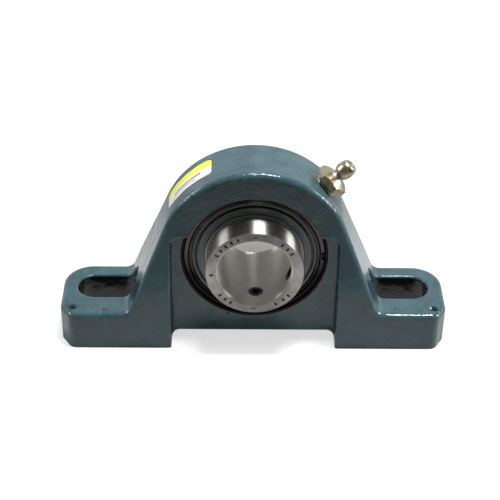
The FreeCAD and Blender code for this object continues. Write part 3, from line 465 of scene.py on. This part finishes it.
def ground_steel(colours):
    """Through-hardened bearing steel of the inner ring.

    Its outside is ground round the shaft, so a lamp shows as a bright bar along it. The
    bore is honed and the face turned, both duller. Etched marks are dark."""
    material, tree, shader, place = new_finish(
        "ground_bearing_steel", Metallic=1, Anisotropic=1.0)
    shaft = about_shaft(tree, place)
    face = band(tree, shaft.along, *RING_FACE)
    # Grinding lines run round the shaft, 0.25 mm apart along it and 25 mm long. Real ones
    # are much finer and wouldn't show.
    stretched = add(tree, "ShaderNodeVectorMath", {
        0: shaft.centred, 1: (per_mm(25), per_mm(0.25), per_mm(25))}, operation="MULTIPLY")
    lines = add(tree, "ShaderNodeTexNoise", {
        "Vector": stretched.outputs[0], "Scale": 1, "Detail": 3}).outputs[0]
    marks = add(tree, "ShaderNodeMix", {
        FACTOR: face, NUMBER_A: lines, NUMBER_B: lathe_rings(tree, shaft.radius, 0.3),
    }).outputs[NUMBER]
    tarnish = add(tree, "ShaderNodeTexNoise", {
        "Vector": place, "Scale": per_mm(4), "Detail": 4, "Roughness": 0.65}).outputs[0]
    tarnish = add(tree, "ShaderNodeMapRange", {
        "Value": tarnish, "From Min": 0.32, "From Max": 0.6}).outputs[0]
    steel = colours.bearing_steel
    metal = add(tree, "ShaderNodeMix", {
        FACTOR: tarnish, COLOUR_A: tint(steel, 0.8), COLOUR_B: tint(steel, 1.1)},
        data_type="RGBA").outputs[COLOUR]
    # The face is a little darker than the ground outside
    darker_face = add(tree, "ShaderNodeMix", {
        FACTOR: 1.0, COLOUR_A: metal, COLOUR_B: tint(WHITE, 0.92)}, data_type="RGBA",
        blend_type="MULTIPLY").outputs[COLOUR]
    metal = add(tree, "ShaderNodeMix", {
        FACTOR: face, COLOUR_A: metal, COLOUR_B: darker_face},
        data_type="RGBA").outputs[COLOUR]
    # Painted light: the bore is made brighter, mixed towards a warm white
    bore_painted_light = add(tree, "ShaderNodeMix", {
        FACTOR: 0.46, COLOUR_A: metal, COLOUR_B: linear("#fff8f0")},
        data_type="RGBA").outputs[COLOUR]
    metal = add(tree, "ShaderNodeMix", {
        FACTOR: band(tree, shaft.radius, *BORE), COLOUR_A: metal, COLOUR_B: bore_painted_light},
        data_type="RGBA").outputs[COLOUR]
    etched = all_of(tree, band(tree, shaft.along, *ETCHED_FLOOR),
                    band(tree, shaft.radius, *ETCHED_RIM))
    metal = add(tree, "ShaderNodeMix", {
        FACTOR: etched, COLOUR_A: metal, COLOUR_B: linear("#1d1c1b")},
        data_type="RGBA").outputs[COLOUR]
    tree.links.new(metal, shader.inputs["Base Color"])
    # The ground outside is smoother than the rest, and the marks roughen both
    finish = add(tree, "ShaderNodeMix", {
        FACTOR: band(tree, shaft.radius, *GROUND), NUMBER_A: 0.5, NUMBER_B: 0.29,
    }).outputs[NUMBER]
    roughness = add(tree, "ShaderNodeMath", {0: marks, 1: 0.05, 2: finish},
                    operation="MULTIPLY_ADD").outputs[0]
    tree.links.new(roughness, shader.inputs["Roughness"])
    tree.links.new(lay_of(tree, shaft.across), shader.inputs["Tangent"])
    relief(tree, shader, (marks, 0.002))
    return material


def turned_ring():
    """Turned and hardened steel of the outer ring: grey, with fine rings and an almost
    black oily film in the groove beside the seal."""
    material, tree, shader, place = new_finish(
        "turned_bearing_steel", Metallic=1, Anisotropic=0.4)
    shaft = about_shaft(tree, place)
    rings = lathe_rings(tree, shaft.radius, 0.25)
    film = add(tree, "ShaderNodeTexNoise", {
        "Vector": place, "Scale": per_mm(5), "Detail": 3}).outputs[0]
    # The ring is darker towards the bottom
    low = add(tree, "ShaderNodeMapRange", {
        "Value": add(tree, "ShaderNodeSeparateXYZ", {0: shaft.centred}).outputs["Z"],
        "From Min": 4 * MM, "From Max": -10 * MM}).outputs[0]
    groove_film_and_low_dark = any_of(tree, all_of(tree, band(tree, shaft.radius, *GROOVE), film), low)
    metal = add(tree, "ShaderNodeMix", {
        FACTOR: groove_film_and_low_dark, COLOUR_A: linear("#504d4a"), COLOUR_B: linear("#1a1817")},
        data_type="RGBA").outputs[COLOUR]
    tree.links.new(lay_of(tree, shaft.across), shader.inputs["Tangent"])
    coat(tree, shader, metal, (rings, 0.003), follows=rings, smooth=0.22, rough=0.42)
    return material


def pressed_steel(name, base, smooth, rough, sheared=None):
    """Cold-rolled sheet pressed to shape, under a grey film that hides most of its
    metal: faint drawing rings, and a soft sheen that handling has dulled unevenly. In the
    sheared zone of its radius the cut edge is bright."""
    material, tree, shader, place = new_finish(name, Metallic=0.25)
    radius = about_shaft(tree, place).radius
    film = add(tree, "ShaderNodeTexNoise", {
        "Vector": place, "Scale": per_mm(6), "Detail": 4}).outputs[0]
    metal = add(tree, "ShaderNodeMix", {
        FACTOR: film, COLOUR_A: tint(base, 0.75), COLOUR_B: tint(base, 1.25)},
        data_type="RGBA").outputs[COLOUR]
    if sheared is not None:
        metal = add(tree, "ShaderNodeMix", {
            FACTOR: band(tree, radius, *sheared), COLOUR_A: metal,
            COLOUR_B: linear("#d8d6d0")}, data_type="RGBA").outputs[COLOUR]
    coat(tree, shader, metal, (lathe_rings(tree, radius, 0.5), 0.004),
         follows=film, smooth=smooth, rough=rough)
    return material


def nitrile_rubber():
    """Moulded nitrile rubber lips: matt dark grey with a paler bloom."""
    material, tree, shader, place = new_finish("nitrile_rubber", IOR=1.52)
    # Patches of bloom, 2 mm across
    bloom = add(tree, "ShaderNodeTexNoise", {
        "Vector": place, "Scale": per_mm(2), "Detail": 3}).outputs[0]
    tone = add(tree, "ShaderNodeMix", {
        FACTOR: bloom, COLOUR_A: linear("#33373a"), COLOUR_B: linear("#4d5356")},
        data_type="RGBA").outputs[COLOUR]
    coat(tree, shader, tone, (bloom, 0.01), follows=bloom, smooth=0.5, rough=0.7)
    return material


def polished_steel(colours):
    """Lapped steel of the bearing's balls and the grease fitting's valve: a near mirror,
    with a thin film of grease."""
    material, tree, shader, place = new_finish("lapped_ball_steel", Metallic=1)
    grease = add(tree, "ShaderNodeTexNoise", {
        "Vector": place, "Scale": per_mm(3), "Detail": 2}).outputs[0]
    metal = add(tree, "ShaderNodeMix", {
        FACTOR: grease, COLOUR_A: colours.bearing_steel, COLOUR_B: linear("#c9c6bf")},
        data_type="RGBA").outputs[COLOUR]
    coat(tree, shader, metal, (grease, 0.003), follows=grease, smooth=0.06, rough=0.22)
    return material


def moulded_nylon():
    """Natural nylon of the cage: ivory and satin, with faint flow lines of the moulding,
    0.3 mm apart and 1.5 mm long."""
    material, tree, shader, place = new_finish("natural_nylon", IOR=1.53)
    stretched = add(tree, "ShaderNodeVectorMath", {
        0: place, 1: (per_mm(0.3), per_mm(1.5), per_mm(0.3))}, operation="MULTIPLY")
    flow = add(tree, "ShaderNodeTexNoise", {
        "Vector": stretched.outputs[0], "Scale": 1, "Detail": 2}).outputs[0]
    tone = add(tree, "ShaderNodeMix", {
        FACTOR: flow, COLOUR_A: linear("#bdb292"), COLOUR_B: linear("#d6ccae")},
        data_type="RGBA").outputs[COLOUR]
    coat(tree, shader, tone, (flow, 0.008), follows=flow, smooth=0.38, rough=0.55)
    return material


def black_oxide(colours):
    """Blackened alloy steel of the set screws and the pin: dark, with a dull oil shine
    and paler specks of wear."""
    material, tree, shader, place = new_finish("black_oxide_on_alloy_steel", Metallic=0.8)
    wear = add(tree, "ShaderNodeTexNoise", {
        "Vector": place, "Scale": per_mm(0.8), "Detail": 3}).outputs[0]
    worn = add(tree, "ShaderNodeMapRange", {
        "Value": wear, "From Min": 0.58, "From Max": 0.72}).outputs[0]
    tone = add(tree, "ShaderNodeMix", {
        FACTOR: worn, COLOUR_A: colours.oxide, COLOUR_B: linear("#5b5650")},
        data_type="RGBA").outputs[COLOUR]
    coat(tree, shader, tone, (wear, 0.01), follows=wear, smooth=0.32, rough=0.5)
    return material


def yellow_zinc(colours):
    """Zinc plate with a yellow chromate film: the thin film drifts between olive, straw
    and rose, and the plate below it is bright."""
    material, tree, shader, place = new_finish("yellow_chromate_on_zinc", Metallic=1)
    drift = add(tree, "ShaderNodeTexNoise", {
        "Vector": place, "Scale": per_mm(3.2), "Detail": 2}).outputs[0]
    tone = add(tree, "ShaderNodeValToRGB", {0: drift})
    stops = tone.color_ramp.elements
    for stop, position, hex_colour in zip(stops, (0.3, 0.72), ("#8f8b70", "#b89d8a")):
        stop.position = position
        stop.color = linear(hex_colour)
    middle = stops.new(0.5)
    middle.color = colours.zinc
    fine = add(tree, "ShaderNodeTexNoise", {
        "Vector": place, "Scale": per_mm(0.5), "Detail": 2}).outputs[0]
    coat(tree, shader, tone.outputs[0], (fine, 0.006), follows=fine, smooth=0.24, rough=0.4)
    return material


def printed_film(colours):
    """Self-adhesive paper label under a clear film: a yellow band behind a white field
    with two plain printed bars. It reads its own map: U down the arch, V front to rear."""
    material, tree, shader, place = new_finish(
        "printed_film_label", IOR=1.5, Coat_Weight=0.5, Coat_Roughness=0.15)
    across = add(tree, "ShaderNodeSeparateXYZ", {
        0: add(tree, "ShaderNodeUVMap", uv_map="Across").outputs[0]})
    down, rearward = across.outputs["X"], across.outputs["Y"]
    yellow = add(tree, "ShaderNodeMapRange", {
        "Value": rearward, "From Min": BAND_EDGE, "From Max": BAND_EDGE + 0.015}).outputs[0]
    ground = add(tree, "ShaderNodeMix", {
        FACTOR: yellow, COLOUR_A: colours.label_field, COLOUR_B: colours.label_band},
        data_type="RGBA").outputs[COLOUR]
    bars = []
    for centre, half, start, end in BARS:
        limits = []
        for value, low, high in ((rearward, centre - half, centre + half),
                                 (down, start, end)):
            for limit, operation in ((low, "GREATER_THAN"), (high, "LESS_THAN")):
                limits.append(add(tree, "ShaderNodeMath", {0: value, 1: limit},
                                  operation=operation).outputs[0])
        bars.append(all_of(tree, *limits))
    ink_cover = 0.8
    ink = all_of(tree, any_of(tree, *bars), ink_cover)
    printed = add(tree, "ShaderNodeMix", {
        FACTOR: ink, COLOUR_A: ground, COLOUR_B: linear("#3a3d40")},
        data_type="RGBA").outputs[COLOUR]
    paper = add(tree, "ShaderNodeTexNoise", {
        "Vector": place, "Scale": per_mm(0.7), "Detail": 3}).outputs[0]
    coat(tree, shader, printed, (paper, 0.01), follows=paper, smooth=0.35, rough=0.5)
    return material


# Shapes

def label_shape(sizes):
    """The label laid round the arch, as a polar grid.

    A point at share r of the way to the edge and angle a is the superellipse
    (U |cos a|^p sign, V |sin a|^p sign) times r, wrapped round the arch's cylinder. Its
    height is the sheet's all over, and falls just below the paint in the last part of r."""
    across = (sizes.label_front + sizes.label_rear) / 2 * MM
    middle_y = SHAFT.y + (sizes.label_rear - sizes.label_front) / 2 * MM
    middle = sizes.label_start + sizes.label_sweep / 2
    along = ARCH_RADIUS * sizes.label_sweep / 2
    rows, columns = 24, 200
    power, steepness, sunk = 0.22, 90, 0.03
    share = 1 - np.linspace(1, 0, rows)[:, None] ** 2
    around = np.linspace(0, 2 * np.pi, columns, endpoint=False)[None, :]
    u, v = (share * np.sign(part) * np.abs(part) ** power
            for part in (np.cos(around), np.sin(around)))
    fall = share ** steepness
    height = (sizes.label_sheet * (1 - fall) - sunk * fall) * MM
    radius = ARCH_RADIUS + height + 0 * u
    turn = middle + u * along / ARCH_RADIUS
    points = np.stack([
        -radius * np.sin(turn),
        middle_y + v * across,
        SHAFT.z + ARCH_RISE + radius * np.cos(turn)], axis=-1)
    return points, np.stack([(u + 1) / 2, (v + 1) / 2], axis=-1)


def fitting_shape(sizes):
    """The grease fitting, as a profile turned round its axis.

    A row is a height s on the axis and a radius r. The shoulder is the neck's radius plus
    the power 1.7 of the share of the way up, the head's ends are quarter ellipses, and
    the bore runs back down. On the rows of the hexagon the radius is the lesser of r and
    the apothem divided by the cosine of the angle from the nearest flat."""
    apothem, corner = sizes.hexagon_flats / 2, sizes.hexagon_flats / math.sqrt(3)
    # Radii in millimetres
    neck, head, tip, hole, chamber = 2.7, 3.75, 2.0, 0.9, 1.5
    crest, root, pilot = 5.3, 4.88, 5.02
    # Heights over its seat on the housing, in millimetres, and the seat from the shaft
    bottom, chamber_bottom, chamber_top, mouth, top = -8.9, 2.9, 10.9, 11.7, 12.3
    seat, half_pitch, half_turns = 43.7, 0.47, 7
    # Foot and length of the shoulder and of the head's lower and upper part
    shoulder_foot, shoulder_length = 2.6, 2.9
    lower_foot, lower_length = 5.9, 2.3
    upper_foot, upper_length = 9, 3.3
    bevel_width, bevel_height = 0.4, 0.35
    steps, columns = 18, 96
    thread = [(-half_pitch * n, root if n % 2 else crest)
              for n in reversed(range(half_turns))]
    bevel = [(0, corner - bevel_width), (bevel_height, corner)]
    share = np.linspace(0, 1, steps)
    narrowing = (1 - share) ** 1.7
    shoulder = np.stack([shoulder_foot + shoulder_length * share,
                         neck + (corner - neck) * narrowing], 1)
    swell = np.sqrt(1 - (1 - share) ** 2)
    lower = np.stack([lower_foot + lower_length * share, neck + (head - neck) * swell], 1)
    taper = np.sqrt(1 - share ** 2)
    upper = np.stack([upper_foot + upper_length * share, tip + (head - tip) * taper], 1)
    bore = [(top, hole), (mouth, hole), (chamber_top, chamber), (chamber_bottom, chamber),
            (chamber_bottom, hole), (bottom, hole)]
    stem = [(bottom, hole), (bottom, pilot), *thread]
    rows = np.vstack([stem, bevel, shoulder, lower, upper, bore])
    around = np.linspace(0, 2 * np.pi, columns, endpoint=False)[None, :]
    height, radius = rows[:, :1], rows[:, 1:] + 0 * around
    sixth = math.radians(60)
    hexagon = apothem / np.cos(around % sixth - sixth / 2)
    hexed = slice(len(stem), len(stem) + len(bevel) + steps)
    radius[hexed] = np.minimum(radius[hexed], hexagon)
    tilt = math.radians(45)
    axis = np.array([math.sin(tilt), 0, math.cos(tilt)])
    # The hexagon's turn is measured from the front
    start = around + sizes.hexagon_turn - sixth / 2
    forward, sideways = np.array([0, -1, 0]), np.array([-math.cos(tilt), 0, math.sin(tilt)])
    points = (np.array(SHAFT) + (seat + height)[..., None] * MM * axis
              + (radius * np.cos(start))[..., None] * MM * forward
              + (radius * np.sin(start))[..., None] * MM * sideways)
    turn = around / (2 * np.pi) + 0 * radius
    return points, np.stack([turn, height / top + 0 * radius], axis=-1)


# Operators

class BEARING_OT_housing(bpy.types.Operator):
    """Paints the cast housing"""
    bl_idname = "bearing.housing"
    bl_label = "Housing"

    def execute(self, context):
        scene = context.scene
        dress(machine_enamel(scene.bearing_colours, scene.bearing_sizes), "housing")
        return {"FINISHED"}


class BEARING_OT_rings(bpy.types.Operator):
    """Finishes the inner and outer ring"""
    bl_idname = "bearing.rings"
    bl_label = "Rings"

    def execute(self, context):
        dress(ground_steel(context.scene.bearing_colours), "inner_ring")
        dress(turned_ring(), "outer_ring")
        return {"FINISHED"}


class BEARING_OT_seals(bpy.types.Operator):
    """Finishes the seal cases, their lips and the flingers"""
    bl_idname = "bearing.seals"
    bl_label = "Seals"

    def execute(self, context):
        colours = context.scene.bearing_colours
        case = pressed_steel("phosphated_sheet_steel", colours.seal_steel,
                             smooth=0.38, rough=0.55)
        flinger = pressed_steel("drawn_sheet_steel", colours.flinger_steel,
                                smooth=0.3, rough=0.48, sheared=FLINGER_EDGE)
        dress(case, "seal_case_front", "seal_case_rear")
        dress(flinger, "flinger_front", "flinger_rear")
        dress(nitrile_rubber(), "seal_lip_front", "seal_lip_rear")
        return {"FINISHED"}


class BEARING_OT_balls(bpy.types.Operator):
    """Finishes the balls and their cage"""
    bl_idname = "bearing.balls"
    bl_label = "Balls and cage"

    def execute(self, context):
        steel = polished_steel(context.scene.bearing_colours)
        dress(steel, *(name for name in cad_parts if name.startswith("ball_")))
        dress(moulded_nylon(), "cage")
        return {"FINISHED"}


class BEARING_OT_screws(bpy.types.Operator):
    """Blackens the set screws and the anti-rotation pin"""
    bl_idname = "bearing.screws"
    bl_label = "Screws and pin"

    def execute(self, context):
        dress(black_oxide(context.scene.bearing_colours),
              "setscrew_1", "setscrew_2", "anti_rotation_pin")
        return {"FINISHED"}


class BEARING_OT_grease_fitting(bpy.types.Operator):
    """Plates the grease fitting and finishes its valve"""
    bl_idname = "bearing.grease_fitting"
    bl_label = "Grease fitting"

    def execute(self, context):
        colours = context.scene.bearing_colours
        points, uv = fitting_shape(context.scene.bearing_sizes)
        piece = surface("turned_grease_fitting", points, uv, yellow_zinc(colours))
        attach(piece, "housing_body")
        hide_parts("grease_fitting")
        dress(polished_steel(colours), "check_ball", "valve_spring")
        return {"FINISHED"}


class BEARING_OT_label(bpy.types.Operator):
    """Lays the label round the arch"""
    bl_idname = "bearing.label"
    bl_label = "Label"

    def execute(self, context):
        scene = context.scene
        points, uv = label_shape(scene.bearing_sizes)
        piece = surface("arch_label", points, uv, printed_film(scene.bearing_colours),
                        outward=(-1, 0, 1))
        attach(piece, "housing_body")
        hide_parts("label")
        return {"FINISHED"}


def lamp(name, place, width, depth, power):
    """A rectangular softbox that faces the lit point."""
    light = bpy.data.lights.new(name, "AREA")
    light.shape = "RECTANGLE"
    light.size = width
    light.size_y = depth
    light.energy = power
    item = place_in_scene(name, light)
    item.location = place
    item.rotation_euler = (LIT_POINT - Vector(place)).to_track_quat("-Z", "Y").to_euler()


def seen(tree, mirrored):
    """One for camera and transmission rays, the given share for glossy rays, else zero."""
    path = add(tree, "ShaderNodeLightPath").outputs
    return any_of(tree, path["Is Camera Ray"], path["Is Transmission Ray"],
                  all_of(tree, path["Is Glossy Ray"], mirrored))


class BEARING_OT_stage(bpy.types.Operator):
    """Sets the floor, the softboxes, the white surround and the camera"""
    bl_idname = "bearing.stage"
    bl_label = "Studio"

    def execute(self, context):
        levels = context.scene.bearing_stage
        self.floor(levels)
        self.surround(levels)
        for name, (place, width, depth) in SOFTBOXES.items():
            lamp(name, place, width, depth, getattr(levels, name.lower()))
        self.camera()
        context.scene.view_settings.view_transform = "Standard"
        return {"FINISHED"}

    def floor(self, levels):
        """A pale floor that shows white and keeps the shadow.

        In reflections it darkens towards the dark end of the studio, where the camera stands.
        Behind the housing it has a soft painted shadow."""
        material, tree, shader, place = new_finish("pale_floor", Roughness=0.7)
        depth = add(tree, "ShaderNodeSeparateXYZ", {0: place}).outputs["Y"]
        mirrored = add(tree, "ShaderNodeMapRange", {
            "Value": depth, "From Min": -0.17, "From Max": 0.02, "To Min": 0.1,
            "To Max": 0.3}).outputs[0]
        # The painted shadow is an ellipse round a point 16 mm behind the slots, 1/16 m to
        # each side and 1/9 m to the rear, and it ends under the housing
        shade = add(tree, "ShaderNodeMapping", {"Vector": place, "Location": (0, -0.016, 0)})
        shade = add(tree, "ShaderNodeVectorMath", {0: shade.outputs[0], 1: (16, 9, 0)},
                    operation="MULTIPLY")
        shade = add(tree, "ShaderNodeVectorMath", {0: shade.outputs[0]}, operation="LENGTH")
        outside_painted_shadow = add(tree, "ShaderNodeMapRange", {
            "Value": shade.outputs["Value"], "From Min": 0.3, "From Max": 1, "To Min": 0.1,
            "To Max": 1}, interpolation_type="SMOOTHSTEP").outputs[0]
        before = add(tree, "ShaderNodeMapRange", {
            "Value": depth, "From Min": -0.008, "From Max": 0.012, "To Min": 1,
            "To Max": 0}).outputs[0]
        outside_painted_shadow = any_of(tree, outside_painted_shadow, before)
        # Pale round the object and darker further out, where the glow makes up for it
        reach = add(tree, "ShaderNodeVectorMath", {0: place}, operation="LENGTH")
        near = add(tree, "ShaderNodeMapRange", {
            "Value": reach.outputs["Value"], "From Min": 0.07, "From Max": 0.17, "To Min": 1,
            "To Max": 0}, interpolation_type="SMOOTHSTEP").outputs[0]
        # Faint patches of 200 mm
        mottle = add(tree, "ShaderNodeTexNoise", {
            "Vector": place, "Scale": per_mm(200)}).outputs[0]
        tone = add(tree, "ShaderNodeMix", {
            FACTOR: mottle, COLOUR_A: linear("#b4b4b3"), COLOUR_B: linear("#bbbbba")},
            data_type="RGBA").outputs[COLOUR]
        # Darker far out, and darker in the painted shadow behind the housing
        for open_part, dark in ((near, linear("#606060")), (outside_painted_shadow, linear("#55534f"))):
            tone = add(tree, "ShaderNodeMix", {
                FACTOR: open_part, COLOUR_A: dark, COLOUR_B: tone},
                data_type="RGBA").outputs[COLOUR]
        tree.links.new(tone, shader.inputs["Base Color"])
        level = add(tree, "ShaderNodeMix", {
            FACTOR: near, NUMBER_A: 0.95, NUMBER_B: levels.floor_glow}).outputs[NUMBER]
        # The glow is lowered in the painted shadow too
        glow = all_of(tree, seen(tree, mirrored), outside_painted_shadow, level)
        tree.links.new(glow, shader.inputs["Emission Strength"])
        shader.inputs["Emission Color"].default_value = WHITE
        mesh = bpy.data.meshes.new("floor")
        corners = [(x * FLOOR_HALF, y * FLOOR_HALF, 0)
                   for x, y in ((-1, -1), (1, -1), (1, 1), (-1, 1))]
        mesh.from_pydata(corners, [], [(0, 1, 2, 3)])
        mesh.materials.append(material)
        item = place_in_scene("floor", mesh)

    def surround(self, levels):
        """White where it is seen. Reflections show a white backdrop up to about 35 degrees
        above the floor, a dark ceiling with one light strip, and the studio's dark end,
        where the camera stands."""
        world = bpy.data.worlds.new("Surround")
        world.use_nodes = True
        tree = world.node_tree
        tree.nodes.clear()
        way = add(tree, "ShaderNodeTexCoord").outputs["Generated"]
        direction = add(tree, "ShaderNodeSeparateXYZ", {0: way})
        backdrop = add(tree, "ShaderNodeMapRange", {
            "Value": direction.outputs["Z"], "From Min": 0.45, "From Max": 0.66,
            "To Min": 0.9, "To Max": 0.2}, interpolation_type="SMOOTHSTEP").outputs[0]
        # The strip runs from front to rear, a little right of the middle
        aside = add(tree, "ShaderNodeMath", {0: direction.outputs["X"], 1: 0.04},
                    operation="SUBTRACT").outputs[0]
        aside = add(tree, "ShaderNodeMath", {0: aside}, operation="ABSOLUTE").outputs[0]
        strip = add(tree, "ShaderNodeMapRange", {
            "Value": aside, "From Min": 0.1, "From Max": 0.15, "To Min": 1,
            "To Max": 0}).outputs[0]
        away = add(tree, "ShaderNodeMapRange", {
            "Value": direction.outputs["Y"], "From Min": -0.35, "From Max": 0.15,
            "To Min": 0.14}, interpolation_type="SMOOTHSTEP").outputs[0]
        mirrored = all_of(tree, any_of(tree, backdrop, strip), away)
        level = add(tree, "ShaderNodeMix", {
            FACTOR: seen(tree, mirrored), NUMBER_A: levels.ambient, NUMBER_B: 1.0,
        }).outputs[NUMBER]
        sky = add(tree, "ShaderNodeBackground", {"Color": WHITE, "Strength": level})
        add(tree, "ShaderNodeOutputWorld", {"Surface": sky.outputs[0]})
        bpy.context.scene.world = world

    def camera(self):
        """The photograph's place and angle."""
        data = bpy.data.cameras.new("Camera")
        data.sensor_width = CAMERA_SENSOR
        data.lens = CAMERA_LENS
        data.clip_start = 0.01
        data.clip_end = 10
        item = place_in_scene("Camera", data)
        back = CAMERA_RIGHT.cross(CAMERA_UP).normalized()
        axes = Matrix((CAMERA_RIGHT, back.cross(CAMERA_RIGHT), back)).transposed().to_4x4()
        item.matrix_world = Matrix.Translation(CAMERA_PLACE) @ axes
        bpy.context.scene.camera = item


class BEARING_PT_pieces(bpy.types.Panel):
    """Lists the pieces"""
    bl_label = "Pillow block bearing"
    bl_idname = "BEARING_PT_pieces"
    bl_space_type = "VIEW_3D"
    bl_region_type = "UI"
    bl_category = "Bearing"

    def draw(self, context):
        for group_name in GROUPS:
            group = getattr(context.scene, group_name)
            box = self.layout.box()
            for name in group.bl_rna.properties.keys():
                if name not in ("rna_type", "name"):
                    box.prop(group, name)
        for operator in OPERATORS:
            self.layout.operator(operator.bl_idname)


GROUPS = {
    "bearing_colours": BearingColours,
    "bearing_sizes": BearingSizes,
    "bearing_stage": BearingStage,
}
OPERATORS = (
    BEARING_OT_housing, BEARING_OT_rings, BEARING_OT_seals, BEARING_OT_balls,
    BEARING_OT_screws, BEARING_OT_grease_fitting, BEARING_OT_label, BEARING_OT_stage,
)
CLASSES = (*GROUPS.values(), *OPERATORS, BEARING_PT_pieces)


def register():
    for item in CLASSES:
        bpy.utils.register_class(item)
    for name, group in GROUPS.items():
        setattr(bpy.types.Scene, name, PointerProperty(type=group))


def unregister():
    for name in GROUPS:
        delattr(bpy.types.Scene, name)
    for item in reversed(CLASSES):
        bpy.utils.unregister_class(item)


def main():
    """Registers the add-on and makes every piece."""
    register()
    for operator in OPERATORS:
        group, name = operator.bl_idname.split(".")
        getattr(getattr(bpy.ops, group), name)()


if __name__ == "__main__":
    main()
